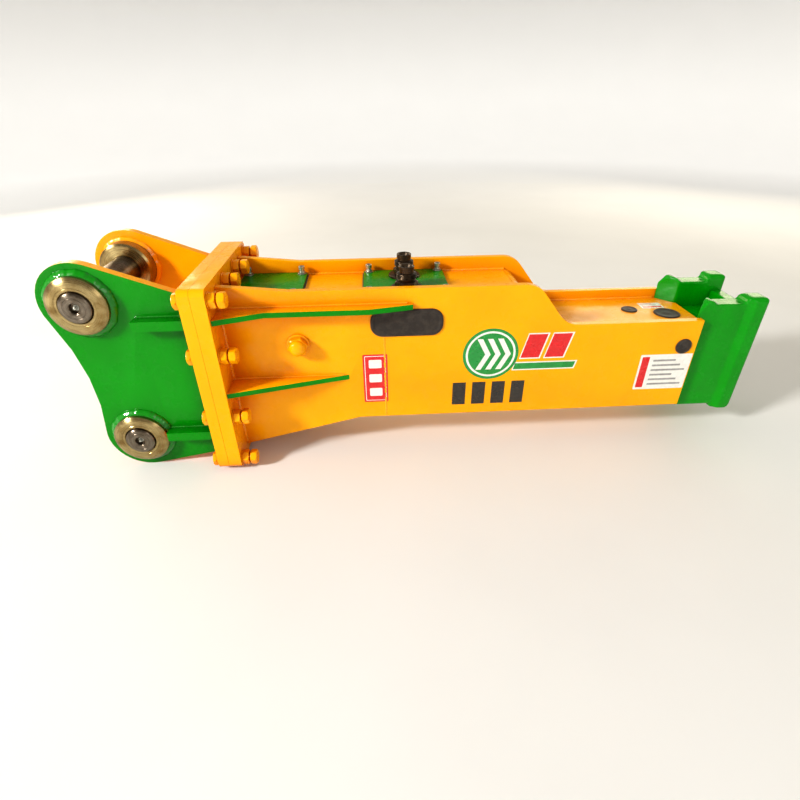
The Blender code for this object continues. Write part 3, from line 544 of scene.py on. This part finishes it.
def collar_weld(label, side, hand, face, material):
    """A rippled fillet weld between a collar and the outer or inner face of its ear."""
    x, z = PINS[label]
    outward, level, reach = (1, EAR_OUTER_Y, 9.0) if face == "outer" else (-1, EAR_INNER_Y, 6.0)
    profile = [
        (level - outward * 1.5, COLLAR_RADIUS + 0.4),
        (level - outward * 1.5, COLLAR_RADIUS + reach + 3),
        (level + outward * 1.5, COLLAR_RADIUS + reach + 2.5),
        (level + outward * 4.5, COLLAR_RADIUS + reach * 0.95),
        (level + outward * reach * 0.8, COLLAR_RADIUS + reach * 0.62),
        (level + outward * reach, COLLAR_RADIUS + 3),
        (level + outward * (reach + 1), COLLAR_RADIUS + 0.4),
    ]
    fillet = turned(f"{label}_collar_weld_{face}_{hand}", to_side(side, profile), material, "Y",
                    (x, 0, z), segments=120, ring=True, angle=60)
    ripple(fillet, side * level, seed=side + x)


def ripple(piece, level, seed):
    """Works a turned weld fillet's skin into uneven overlapping ripples."""
    for vertex in piece.data.vertices:
        radius = math.hypot(vertex.co.x, vertex.co.y)
        if radius <= (COLLAR_RADIUS + 1) * MM:
            continue
        turn = math.atan2(vertex.co.y, vertex.co.x)
        spot = Vector((math.cos(turn) * 5, math.sin(turn) * 5, seed))
        wave = 0.5 * math.sin(turn * 44) + 2.2 * noise.noise(spot) + 0.8 * noise.noise(spot * 5)
        scale = 1 + wave * MM / radius
        vertex.co.x *= scale
        vertex.co.y *= scale
        height = vertex.co.z - level * MM
        if abs(height) > 0.5 * MM:
            vertex.co.z += 0.25 * wave * MM * (1 if height > 0 else -1)


def build_collars():
    """Turned collars in the ears, and the bracket pins with a grease nipple in each end."""
    bore = PIN_RADIUS + 0.35
    outer, inner = COLLAR_OUTER_Y, COLLAR_INNER_Y
    collar = [
        (outer - 3, bore), (outer, bore + 2.6), (outer, 40.5),
        (outer - 0.5, 41.0), (outer - 0.5, 41.6), (outer, 42.1),
        (outer, COLLAR_RADIUS - 9), (outer - 0.8, COLLAR_RADIUS - 7.6),
        (outer - 4, COLLAR_RADIUS - 0.8), (outer - 5, COLLAR_RADIUS),
        (inner + 4, COLLAR_RADIUS), (inner, COLLAR_RADIUS - 5),
        (inner, bore + 1.5), (inner + 1.5, bore),
    ]
    for label, (x, z) in PINS.items():
        for side, hand in SIDES:
            turned(f"{label}_collar_{hand}_finished", to_side(side, collar), COLLAR_STEEL, "Y",
                   (x, 0, z), segments=120, ring=True, nodes=(f"{label}_collar_{hand}",),
                   slot="turned_steel")
        body = f"{label}_pin"
        end = box_mm(body)[1].y
        seat = end - 9.0
        half = [
            (seat, 3.0), (seat, 10.0), (end - 1.6, 11.0), (end - 0.4, 12.4), (end, 13.4),
            (end, 21.5), (end - 0.5, 22.0), (end - 0.5, 22.8), (end, 23.3), (end, 29.2),
            (end - 1.2, 31.2), (end - 3, PIN_RADIUS), (end - 12, PIN_RADIUS),
        ]
        turned(f"{label}_pin_finished", to_side(-1, half) + half[::-1], PIN_STEEL, "Y",
               (x, 0, z), segments=96, body=body, nodes=(body,), slot="turned_steel")
        nipple = [
            (seat - 1, 6.2), (seat + 1.2, 6.2), (seat + 1.6, 4.2), (seat + 3.2, 4.0),
            (seat + 3.8, 2.6), (seat + 5.4, 3.4), (seat + 6.8, 3.1), (seat + 7.6, 1.8),
        ]
        for side, hand in SIDES:
            turned(f"{label}_grease_nipple_{hand}", to_side(side, nipple), ZINC, "Y", (x, 0, z),
                   segments=32, body=body)


def nut_form(radius, low, high):
    """A hexagon nut about local Z with its corners turned down at both ends."""
    form = bmesh.new()
    corner = radius * 2 / math.sqrt(3)
    loops = []
    for level, limit in ((low, radius * 0.985), (low + NUT_CHAMFER * 0.45, radius * 1.06),
                         (low + NUT_CHAMFER, corner), (high - NUT_CHAMFER, corner),
                         (high - NUT_CHAMFER * 0.45, radius * 1.06), (high, radius * 0.985)):
        loop = []
        for index in range(NUT_POINTS):
            turn = math.tau * index / NUT_POINTS + math.radians(30.0)
            from_flat = (math.degrees(turn) - 30.0) % 60 - 30
            reach = min(radius / math.cos(math.radians(from_flat)), limit)
            loop.append(form.verts.new((reach * math.cos(turn), reach * math.sin(turn), level)))
        loops.append(loop)
    skin(form, loops)
    return form


def nut(name, axis, centre, radius, low, high, material, turn):
    """A nut or bolt head along a row axis; radius is half the width across its flats."""
    matrix = axis_matrix(axis, centre) @ Matrix.Rotation(math.radians(turn), 4, "Z")
    return show(name, nut_form(radius, low, high), material, matrix=matrix, angle=28)


def build_flange_bolts():
    """Each bolt: a head with a washer behind the bracket, a nut and a lock nut in the box."""
    spread = random.Random(7)
    head = FLANGE_BACK - GAP
    seat = BOX_FLANGE + GAP
    for node in sorted(frame["nodes"]):
        if not node.startswith("flange_bolt_"):
            continue
        low, high = box_mm(node)
        centre = (0.0, (low.y + high.y) / 2, (low.z + high.z) / 2)
        label = node.replace("flange_bolt_", "")
        lock = high.x - NUT_HEIGHT
        thread = seat + NUT_HEIGHT
        shank = [(low.x + 4, SHANK), (head - 0.2, SHANK), (thread - 1, SHANK),
                 (thread, THREAD_ROOT)]
        while thread < lock - 1.2:
            shank += [(thread + 0.4, THREAD_CREST), (thread + 0.8, THREAD_ROOT)]
            thread += THREAD_PITCH
        shank += [(high.x - 3.5, 10.3), (high.x - 0.6, 9.0)]
        turned(f"{node}_shank", shank, YELLOW, "X", centre, segments=28, nodes=(node,),
               slot="yellow_paint")
        for part, start, end in (("head", low.x, head - WASHER),
                                 ("nut", seat + WASHER, seat + NUT_HEIGHT),
                                 ("lock_nut", lock, high.x - 1.6)):
            nut(f"bolt_{part}_{label}", "X", centre, BOLT_FLAT, start, end, YELLOW,
                spread.uniform(-12, 12))
        for part, start in (("head", head - WASHER), ("nut", seat)):
            end = start + WASHER
            washer = [(start, 11.2), (start, 17.4), (start + 0.5, 18.0), (end - 0.4, 18.0),
                      (end, 17.4), (end, 11.2)]
            turned(f"bolt_washer_{part}_{label}", washer, YELLOW, "X", centre, segments=48,
                   ring=True)


# ---------------------------------------------------------------------- box
def rib_edges(side):
    """Material index for a side plate: 1 on the free edges of its ribs, which are green."""
    def choose(normal, centre):
        outside = side * centre.y > SIDE_OUTER_Y + 0.5
        return 1 if outside and abs(normal.z) < 0.5 and side * normal.y > 0.3 else 0
    return choose


def build_box():
    low, high = box_mm("box_flange")
    half = (high - low) / 2
    half_y, half_z = half.y - 1.5, half.z - 1.5
    # A dark sheet between the two flanges, painted shade for the gap between them.
    joint = prism_form(rounded((-half_y, -half_z), (half_y, half_z), 13.5), "X", -1.1, 1.1)
    show("flange_joint", joint, FLANGE_GAP_SHADE)
    refined("bracket_flange", YELLOW, 2.6)
    refined("box_flange", YELLOW, 2.6)
    for side, hand in SIDES:
        refined(f"side_plate_{hand}", (YELLOW, GREEN), 1.5, paint_face=rib_edges(side))
        for face, level in (("outer", SIDE_OUTER_Y), ("inner", SIDE_INNER_Y)):
            bead(f"side_flange_weld_{face}_{hand}",
                 [(BOX_FLANGE, side * level, -196.0), (BOX_FLANGE, side * level, 200.0)],
                 5.0, YELLOW_BEAD, seed=3)
        y = side * SIDE_OUTER_Y
        for name, z, end in RIBS:
            for edge, level in EDGES:
                bead(f"{name}_rib_weld_{level}_{hand}",
                     [(BOX_FLANGE + 4, y, z + edge * 6.4), (end - 12, y, z + edge * 6.4)],
                     3.2, YELLOW_BEAD, seed=z)
        bead(f"seam_weld_{hand}", [(385.0, y - side * 2.4, z) for z in (-136.0, 60.0, 82.0)],
             3.4, YELLOW_BEAD, seed=9)
    refined("rear_top_plate", YELLOW, 1.2)
    refined("ramp_plate", YELLOW, 0.8, angle=50)
    refined("front_top_plate", YELLOW, 1.2)
    refined("bottom_plate", YELLOW, 1.2)
    for side, hand in SIDES:
        y = side * (SIDE_INNER_Y - 0.4)
        for name, start, end, z, radius, seed in (
            ("top", BOX_FLANGE + 6, 702.0, 158.5, 3.6, 5),
            ("nose", 802.0, BOX_FRONT, 68.8, 3.4, 6),
            ("bottom", BOX_FLANGE + 6, BOX_FRONT, -128.4, 3.6, 8),
        ):
            bead(f"{name}_seam_{hand}", [(start, y, z), (end, y, z)], radius, YELLOW_BEAD,
                 seed=seed)


def build_claws():
    for side, hand in SIDES:
        cast(f"claw_{hand}", CAST_GREEN, 2.6, 7)
        y = side * SIDE_INNER_Y
        bead(f"claw_weld_{hand}", [(1131.5, y, -134.0), (1131.5, y, 88.0)], 4.2, CAST_GREEN,
             seed=11)
    for level in ("upper", "lower"):
        cast(f"nose_plate_{level}", CAST_GREEN, 2.2, 5)


# ------------------------------------------------------- covers and fittings
def build_covers():
    """Cover plates on gaskets, each with four cap screws on washers and nuts."""
    for node, label in (("gas_cover", "gas"), ("port_cover", "port")):
        low, high = box_mm(node)
        top = high.z - 19.0
        plate = prism_form(rounded((low.x, low.y), (high.x, high.y), 5.0), "Z", low.z, top)
        show(f"{node}_plate", plate, GREEN, nodes=(node,), slot="green_paint", bevel=1.0)
        rim = rounded((low.x - 3, low.y - 1), (high.x + 3, high.y + 1), 6.0)
        gasket = prism_form(rim, "Z", low.z - 0.9, low.z + 0.9)
        show(f"{node}_gasket", gasket, RUBBER, slot="rubber", bevel=0.4, steps=2)
        spread = random.Random(len(label))
        screw = [(top - 1, 5.4), (high.z - 8.6, 5.4), (high.z - 8.0, 7.4), (high.z - 1.0, 7.6),
                 (high.z, 6.8), (high.z, 4.0), (high.z - 4.2, 3.8), (high.z - 4.4, 0.6)]
        washer = [(top, 5.7), (top, 10.4), (top + 0.4, 10.8), (top + 1.6, 10.8),
                  (top + 2.0, 10.4), (top + 2.0, 5.7)]
        for end, x in (("rear", low.x + 13), ("front", high.x - 13)):
            for hand, y in (("right", -84), ("left", 84)):
                name = f"{label}_stud_{end}_{hand}"
                turned(f"{name}_screw", screw, ZINC, "Z", (x, y, 0), segments=32)
                turned(f"{name}_washer", washer, ZINC, "Z", (x, y, 0), segments=36, ring=True)
                nut(f"{name}_nut", "Z", (x, y, 0), 7.6, top + 2.0, top + 6.5, ZINC,
                    spread.uniform(0, 60))


def build_adaptors():
    """Hose adaptors: base ring, hexagon, threaded neck and a coned open end."""
    base = 165.6
    for side, hand in SIDES:
        node = f"hose_adaptor_{hand}"
        low, high = box_mm(node)
        centre = (441.0, side * 48.0, 0.0)
        top = high.z
        profile = [(low.z, 9), (low.z, 16), (base - 0.5, 16), (base - 0.5, 37), (base, 38),
                   (base + 3.4, 38), (base + 4.4, 37), (base + 5, 26), (base + 5.6, 22.5),
                   (base + 20, 22.5), (base + 21, 19.5), (base + 25, 19.5), (base + 26, 21.0)]
        for index in range(4):
            ridge = base + 26.6 + 2.9 * index
            profile += [(ridge, 22.6), (ridge + 0.6, 23.0), (ridge + 1.4, 22.6),
                        (ridge + 2.0, 20.2), (ridge + 2.4, 20.2)]
        profile += [(base + 39.2, 16.6), (top - 9, 16.4), (top - 8.4, 17.4), (top - 1.0, 17.5),
                    (top, 16.6), (top, 14.6), (top - 8, 9)]
        turned(f"{node}_finished", profile, BLACK_STEEL, "Z", centre, segments=72, ring=True,
               nodes=(node,), slot="black_steel")
        nut(f"{node}_hexagon", "Z", centre, 23.6, base + 6, base + 19, BLACK_STEEL,
            10 if side > 0 else 34)


def build_plugs():
    for side, hand in SIDES:
        slot_plug(f"port_plug_{hand}", side)
        pin_plug(f"pin_plug_{hand}", side)
    top_plug("grease_plug")
    top_plug("stop_pin_plug")


def slot_plug(node, side):
    """A slot-shaped plug over a port: a lip on the plate, a raised rim and a sunken middle."""
    low, high = box_mm(node)
    face = max(abs(low.y), abs(high.y))
    form = bmesh.new()
    loops = []
    for inset, level in (
        (0.0, SIDE_OUTER_Y + GAP), (0.0, SIDE_OUTER_Y + 2.0), (1.2, SIDE_OUTER_Y + 3.4),
        (3.0, face), (7.0, face), (8.6, face - 1.6), (12.0, face - 1.9), (15.0, face - 1.9),
    ):
        outline = rounded((low.x + inset, low.z + inset), (high.x - inset, high.z - inset),
                          SLOT_PLUG_CORNER - inset)
        loops.append([form.verts.new((x, side * level, z)) for x, z in outline])
    skin(form, loops)
    show(f"{node}_finished", form, RUBBER, nodes=(node,), slot="rubber", angle=50)


def pin_plug(node, side):
    """A round plug over the tool pin's end; the right-hand one comes out with the pin."""
    low, high = box_mm(node)
    centre = ((low.x + high.x) / 2, 0, (low.z + high.z) / 2)
    plate = SIDE_OUTER_Y
    profile = [(min(abs(low.y), abs(high.y)), 14.5), (plate, 16.2), (plate + GAP, 19),
               (plate + 1.8, 19), (plate + 3.2, 17.8), (plate + 3.5, 16.2), (plate + 2.6, 14.4),
               (plate + 2.2, 4.5), (plate + 3.0, 3.6), (plate + 3.0, 1.0)]
    turned(f"{node}_finished", to_side(side, profile), RUBBER, "Y", centre, segments=56,
           body="pin_plug_right" if side < 0 else "housing", nodes=(node,), slot="rubber",
           angle=50)


def top_plug(node):
    """A round plug in the front top plate, with a sunken ring and a small middle boss."""
    low, high = box_mm(node)
    radius = (high.x - low.x) / 2
    top = high.z
    profile = [(low.z, radius - 4.6), (top - 3.4, radius - 4.2), (top - 3.2, radius),
               (top - 1.6, radius), (top - 0.3, radius - 1.4), (top, radius - 3.0),
               (top - 0.9, radius - 4.8), (top - 1.5, radius * 0.35),
               (top - 0.6, radius * 0.25), (top - 0.6, 1.0)]
    turned(f"{node}_finished", profile, RUBBER, "Z",
           ((low.x + high.x) / 2, (low.y + high.y) / 2, 0), segments=72, nodes=(node,),
           slot="rubber", angle=50)


def build_side_bolts():
    """Capped bolts in the side plates: a washer, a hexagon and a domed cap."""
    face = SIDE_OUTER_Y + GAP
    for side, hand in SIDES:
        node = f"side_bolt_{hand}"
        low, high = box_mm(node)
        centre = ((low.x + high.x) / 2, 0, (low.z + high.z) / 2)
        rise = max(abs(low.y), abs(high.y)) - face - 20
        profile = [(66, 13.6), (face, 13.6), (face, 25.4), (face + 0.6, 26), (face + 3.2, 26),
                   (face + 4, 25.2), (face + 4, 18.5), (face + 20, 18.5)]
        for degrees in range(0, 91, 10):
            turn = math.radians(degrees)
            profile.append((face + 20 + rise * math.sin(turn), 2 + 16.5 * math.cos(turn)))
        turned(f"{node}_finished", to_side(side, profile), YELLOW, "Y", centre, segments=56,
               nodes=(node,), slot="yellow_paint", angle=50)
        start, end = sorted((side * (face + 4), side * (face + 19.5)))
        nut(f"{node}_hexagon", "Y", centre, 20.3, start, end, YELLOW, 20)


# --------------------------------------------------------------- power cell
def build_cell():
    for node, material, bevel in (
        ("back_head", CAST_IRON, 2.0), ("cylinder", CAST_IRON, 1.5), ("front_head", CAST_IRON, 2.5),
        ("valve_cover", BLACK_STEEL, 1.2), ("top_buffer", POLYURETHANE, 3.0),
    ):
        refined(node, material, bevel)
    for node, body, material in (
        ("piston", "piston", BRIGHT_STEEL), ("valve_spool", "valve_spool", BRIGHT_STEEL),
        ("seal_retainer", "housing", BRONZE), ("upper_bush", "housing", BRONZE),
        ("lower_bush", "housing", BRONZE),
    ):
        low, high = box_mm(node)
        recentred(node, body, material, (0, 0, (low.z + high.z) / 2), "X", 0.8)
    low, high = box_mm("retaining_pin")
    recentred("retaining_pin", "tool_pin", BRIGHT_STEEL,
              ((low.x + high.x) / 2, 0, (low.z + high.z) / 2), "Y", 1.0)
    low, high = box_mm("gas_valve")
    recentred("gas_valve", "housing", ZINC, ((low.x + high.x) / 2, 0, 0), "Z", 0.6)
    for node in sorted(frame["nodes"]):
        if node.startswith("through_bolt_"):
            low, high = box_mm(node)
            recentred(node, "housing", BLACK_STEEL,
                      (0, (low.y + high.y) / 2, (low.z + high.z) / 2), "X", 1.0)


def recentred(node, body, material, centre, axis, bevel):
    """A refined copy of a turned node whose own Z runs along its axis, for its ring finish."""
    matrix = axis_matrix(axis, centre)
    form = node_form(node)
    form.transform(Matrix.Scale(1 / MM, 4) @ matrix.inverted())
    return show(node + "_finished", form, material, body, (node,), SLOTS[node], matrix=matrix,
                bevel=bevel)


# ------------------------------------------------------------------- labels
def sticker(name, points, material, side, lift=0.25):
    """A thin vinyl shape on a side plate; points are (x, z), and lift is its outer face."""
    start, end = sorted((side * (SIDE_OUTER_Y + lift - VINYL), side * (SIDE_OUTER_Y + lift)))
    return show(name, prism_form(points, "Y", start, end), material)


def slanted(x, z, width, height, lean=0.25):
    """A parallelogram from its lower left corner; lean is its shift per unit of height."""
    shift = lean * height
    return [(x, z), (x + width, z), (x + width + shift, z + height), (x + shift, z + height)]


RED_LABEL = (
    ("", (333, -95), (391, 34), 3, RED_VINYL, 0.25),
    ("_line", (337, -91), (387, 30), 2, WHITE_VINYL, 0.35),
    ("_field", (338.6, -89.4), (385.4, 28.4), 2, RED_VINYL, 0.45),
)


def build_labels():
    for side, hand in SIDES:
        for name, low, high, corner, material, lift in RED_LABEL:
            sticker(f"red_label{name}_{hand}", rounded(low, high, corner), material, side, lift)
        for index, level in enumerate((-78, -40, -2)):
            sticker(f"red_label_bar_{index}_{hand}", rounded((347, level), (377, level + 22), 3),
                    WHITE_VINYL, side, 0.55)
        build_emblem(side, hand)
        sticker(f"white_label_{hand}", rounded((1001, -88), (1128, 8), 2), WHITE_VINYL, side)
        sticker(f"white_label_band_{hand}", rounded((1006, -82), (1024, 2), 1.5), RED_VINYL,
                side, 0.35)
        for index in range(6):
            level = -76 + index * 13
            sticker(f"white_label_line_{index}_{hand}",
                    rounded((1034, level), (1118 - 14 * (index % 3), level + 5), 1),
                    GREY_VINYL, side, 0.35)


def build_top_label():
    """A small label lying on the front top plate, behind the stop pin plug."""
    top = box_mm("front_top_plate")[1].z
    for name, low, high, lift, material in (
        ("top_label", (1056, 24), (1114, 60), 0.25, WHITE_VINYL),
        ("top_label_band", (1060, 28), (1110, 38), 0.35, RED_VINYL),
        ("top_label_line_0", (1062, 43), (1102, 47), 0.35, GREY_VINYL),
        ("top_label_line_1", (1062, 51), (1092, 55), 0.35, GREY_VINYL),
    ):
        show(name, prism_form(rounded(low, high, 1.5), "Z", top + lift - VINYL, top + lift),
             material)


def build_emblem(side, hand):
    """A plain round badge with chevrons, two slanted fields, an underline and four bars."""
    centre = (634, 24)
    sticker(f"badge_disc_{hand}", arc(centre, 66, 0, 354), GREEN_VINYL, side)
    badge_ring(f"badge_ring_0_{hand}", centre, 59, 54, WHITE_VINYL, side)
    for index in range(3):
        x = 600 + index * 24
        points = [(x, -16), (x + 13, -16), (x + 34, 24), (x + 13, 64), (x, 64), (x + 21, 24)]
        sticker(f"badge_chevron_{index}_{hand}", points, WHITE_VINYL, side, 0.35)
    for index, x in enumerate((706, 764)):
        sticker(f"stripe_border_{index}_{hand}", slanted(x - 3, 9, 50, 66), WHITE_VINYL, side)
        sticker(f"stripe_{index}_{hand}", slanted(x, 12, 44, 60), RED_VINYL, side, 0.35)
    sticker(f"underline_border_{hand}", slanted(688, -21, 152, 22), WHITE_VINYL, side)
    sticker(f"underline_{hand}", slanted(691, -18, 146, 16), GREEN_VINYL, side, 0.35)
    for index, x in enumerate((548, 596, 644, 692)):
        sticker(f"black_bar_{index}_{hand}", slanted(x, -112, 32, 62, 0.0), BLACK_VINYL, side)


def badge_ring(name, centre, outer, inner, material, side):
    """A flat ring of vinyl on a side plate."""
    form = bmesh.new()
    top = side * (SIDE_OUTER_Y + 0.35)
    under = top - side * VINYL
    loops = [[form.verts.new((x, y, z)) for x, z in arc(centre, radius, 0, 356, 4)]
             for radius, y in ((outer, top), (inner, top), (inner, under), (outer, under))]
    skin(form, loops, ring=True)
    return show(name, form, material)


# -------------------------------------------------------------------- stage
def build_stage():
    """A pale floor under a dim warm sky, with five soft area lights."""
    build_floor()
    world = bpy.data.worlds.new("studio")
    world.use_nodes = True
    bpy.context.scene.world = world
    tree = world.node_tree
    background = tree.nodes["Background"]
    background.inputs["Color"].default_value = (1.0, 0.95, 0.86, 1.0)
    direction = tree.nodes.new("ShaderNodeTexCoord")
    split = tree.nodes.new("ShaderNodeSeparateXYZ")
    fall = tree.nodes.new("ShaderNodeMapRange")
    tree.links.new(direction.outputs["Generated"], split.inputs["Vector"])
    tree.links.new(split.outputs["Z"], fall.inputs["Value"])
    for socket, value in (("From Min", 0.40), ("From Max", 1.0),
                          ("To Min", SKY_LOW), ("To Max", SKY_HIGH)):
        fall.inputs[socket].default_value = value
    tree.links.new(fall.outputs["Result"], background.inputs["Strength"])
    target = Vector((0.0, 0.0, 0.22))
    for name, spot, size_x, size_y, power, colour in LIGHTS:
        lamp = bpy.data.lights.new(name, "AREA")
        lamp.shape = "RECTANGLE"
        lamp.size, lamp.size_y, lamp.energy, lamp.color = size_x, size_y, power, colour
        light = bpy.data.objects.new(name, lamp)
        light.location = spot
        light.rotation_euler = (target - Vector(spot)).to_track_quat("-Z", "Y").to_euler()
        bpy.context.scene.collection.objects.link(light)
    bpy.context.scene.view_settings.view_transform = "Standard"
    bpy.context.scene.view_settings.look = "Medium High Contrast"


def build_floor():
    """A pale studio floor that curves up into a wall all round, far outside the object."""
    profile = [(radius, 0.0) for radius in (0.4, 1.5, 3.5, FLOOR_FLAT)]
    for degrees in range(5, 91, 5):
        turn = math.radians(degrees)
        profile.append((FLOOR_FLAT + FLOOR_CURVE * math.sin(turn),
                        FLOOR_CURVE * (1 - math.cos(turn))))
    profile += [(FLOOR_FLAT + FLOOR_CURVE, height) for height in (7.0, 8.0, 9.0, 10.0, 12.0)]
    form = bmesh.new()
    loops = []
    for radius, height in profile:
        loops.append([form.verts.new((radius * math.cos(math.tau * index / FLOOR_SEGMENTS),
                                      radius * math.sin(math.tau * index / FLOOR_SEGMENTS), height))
                      for index in range(FLOOR_SEGMENTS)])
    skin(form, loops, caps=(0,))
    bmesh.ops.recalc_face_normals(form, faces=form.faces)
    mesh = bpy.data.meshes.new("floor")
    form.to_mesh(mesh)
    form.free()
    mesh.shade_smooth()
    mesh.materials.append(floor_material())
    ground = bpy.data.objects.new("floor", mesh)
    bpy.context.scene.collection.objects.link(ground)


def floor_material():
    """Matt floor paint; a faint glow far out lifts the horizon, and a second one the wall's top."""
    nodes = Nodes("pale_floor", 0.9, Specular_IOR_Level=0.2)
    nodes.shader.inputs["Emission Color"].default_value = (1.0, 0.985, 0.96, 1.0)
    place_here = nodes.coordinates()
    away = nodes.add("VectorMath", operation="LENGTH")
    nodes.link(place_here, away.inputs[0])
    split = nodes.add("SeparateXYZ")
    nodes.link(place_here, split.inputs["Vector"])
    height = split.outputs["Z"]
    tone = nodes.mix(nodes.spread(nodes.noise(2.0, 3.0), 0.0, 1.0),
                     (0.80, 0.80, 0.79), (0.77, 0.77, 0.76))
    tone = nodes.mix(nodes.spread(height, 0.0, 1.0, 1.0, 6.0), tone, (0.50, 0.48, 0.44))
    horizon = nodes.add("Math", operation="MULTIPLY")
    nodes.link(nodes.spread(away.outputs["Value"], 0.0, WALL_GLOW, 2.2, 6.0), horizon.inputs[0])
    nodes.link(nodes.spread(height, 1.0, 0.0, 0.6, 4.5), horizon.inputs[1])
    glow = nodes.add("Math", operation="ADD")
    nodes.link(horizon.outputs["Value"], glow.inputs[0])
    nodes.link(nodes.spread(height, 0.0, UPPER_GLOW, 4.5, 9.0), glow.inputs[1])
    nodes.link(glow.outputs["Value"], nodes.shader.inputs["Emission Strength"])
    return nodes.finish(tone)


def build_camera():
    """The viewing angle: from the right-hand side, above the bracket, looking down the box."""
    heading, down, roll = -2.8818, 32.1134, -0.6609
    lens = bpy.data.cameras.new("camera")
    lens.sensor_width = 36.0
    lens.lens = 22.474
    lens.clip_end = 60
    camera = bpy.data.objects.new("camera", lens)
    camera.matrix_world = (Matrix.Translation(place(367.1, -1155.3, 559.4))
                           @ Matrix.Rotation(math.radians(heading), 4, "Z")
                           @ Matrix.Rotation(math.radians(90 - down), 4, "X")
                           @ Matrix.Rotation(math.radians(roll), 4, "Z"))
    bpy.context.scene.collection.objects.link(camera)
    bpy.context.scene.camera = camera


build_ears()
build_collars()
build_flange_bolts()
build_box()
build_claws()
build_covers()
build_adaptors()
build_plugs()
build_side_bolts()
build_cell()
build_labels()
build_top_label()
build_stage()
build_camera()
bpy.context.view_layer.update()
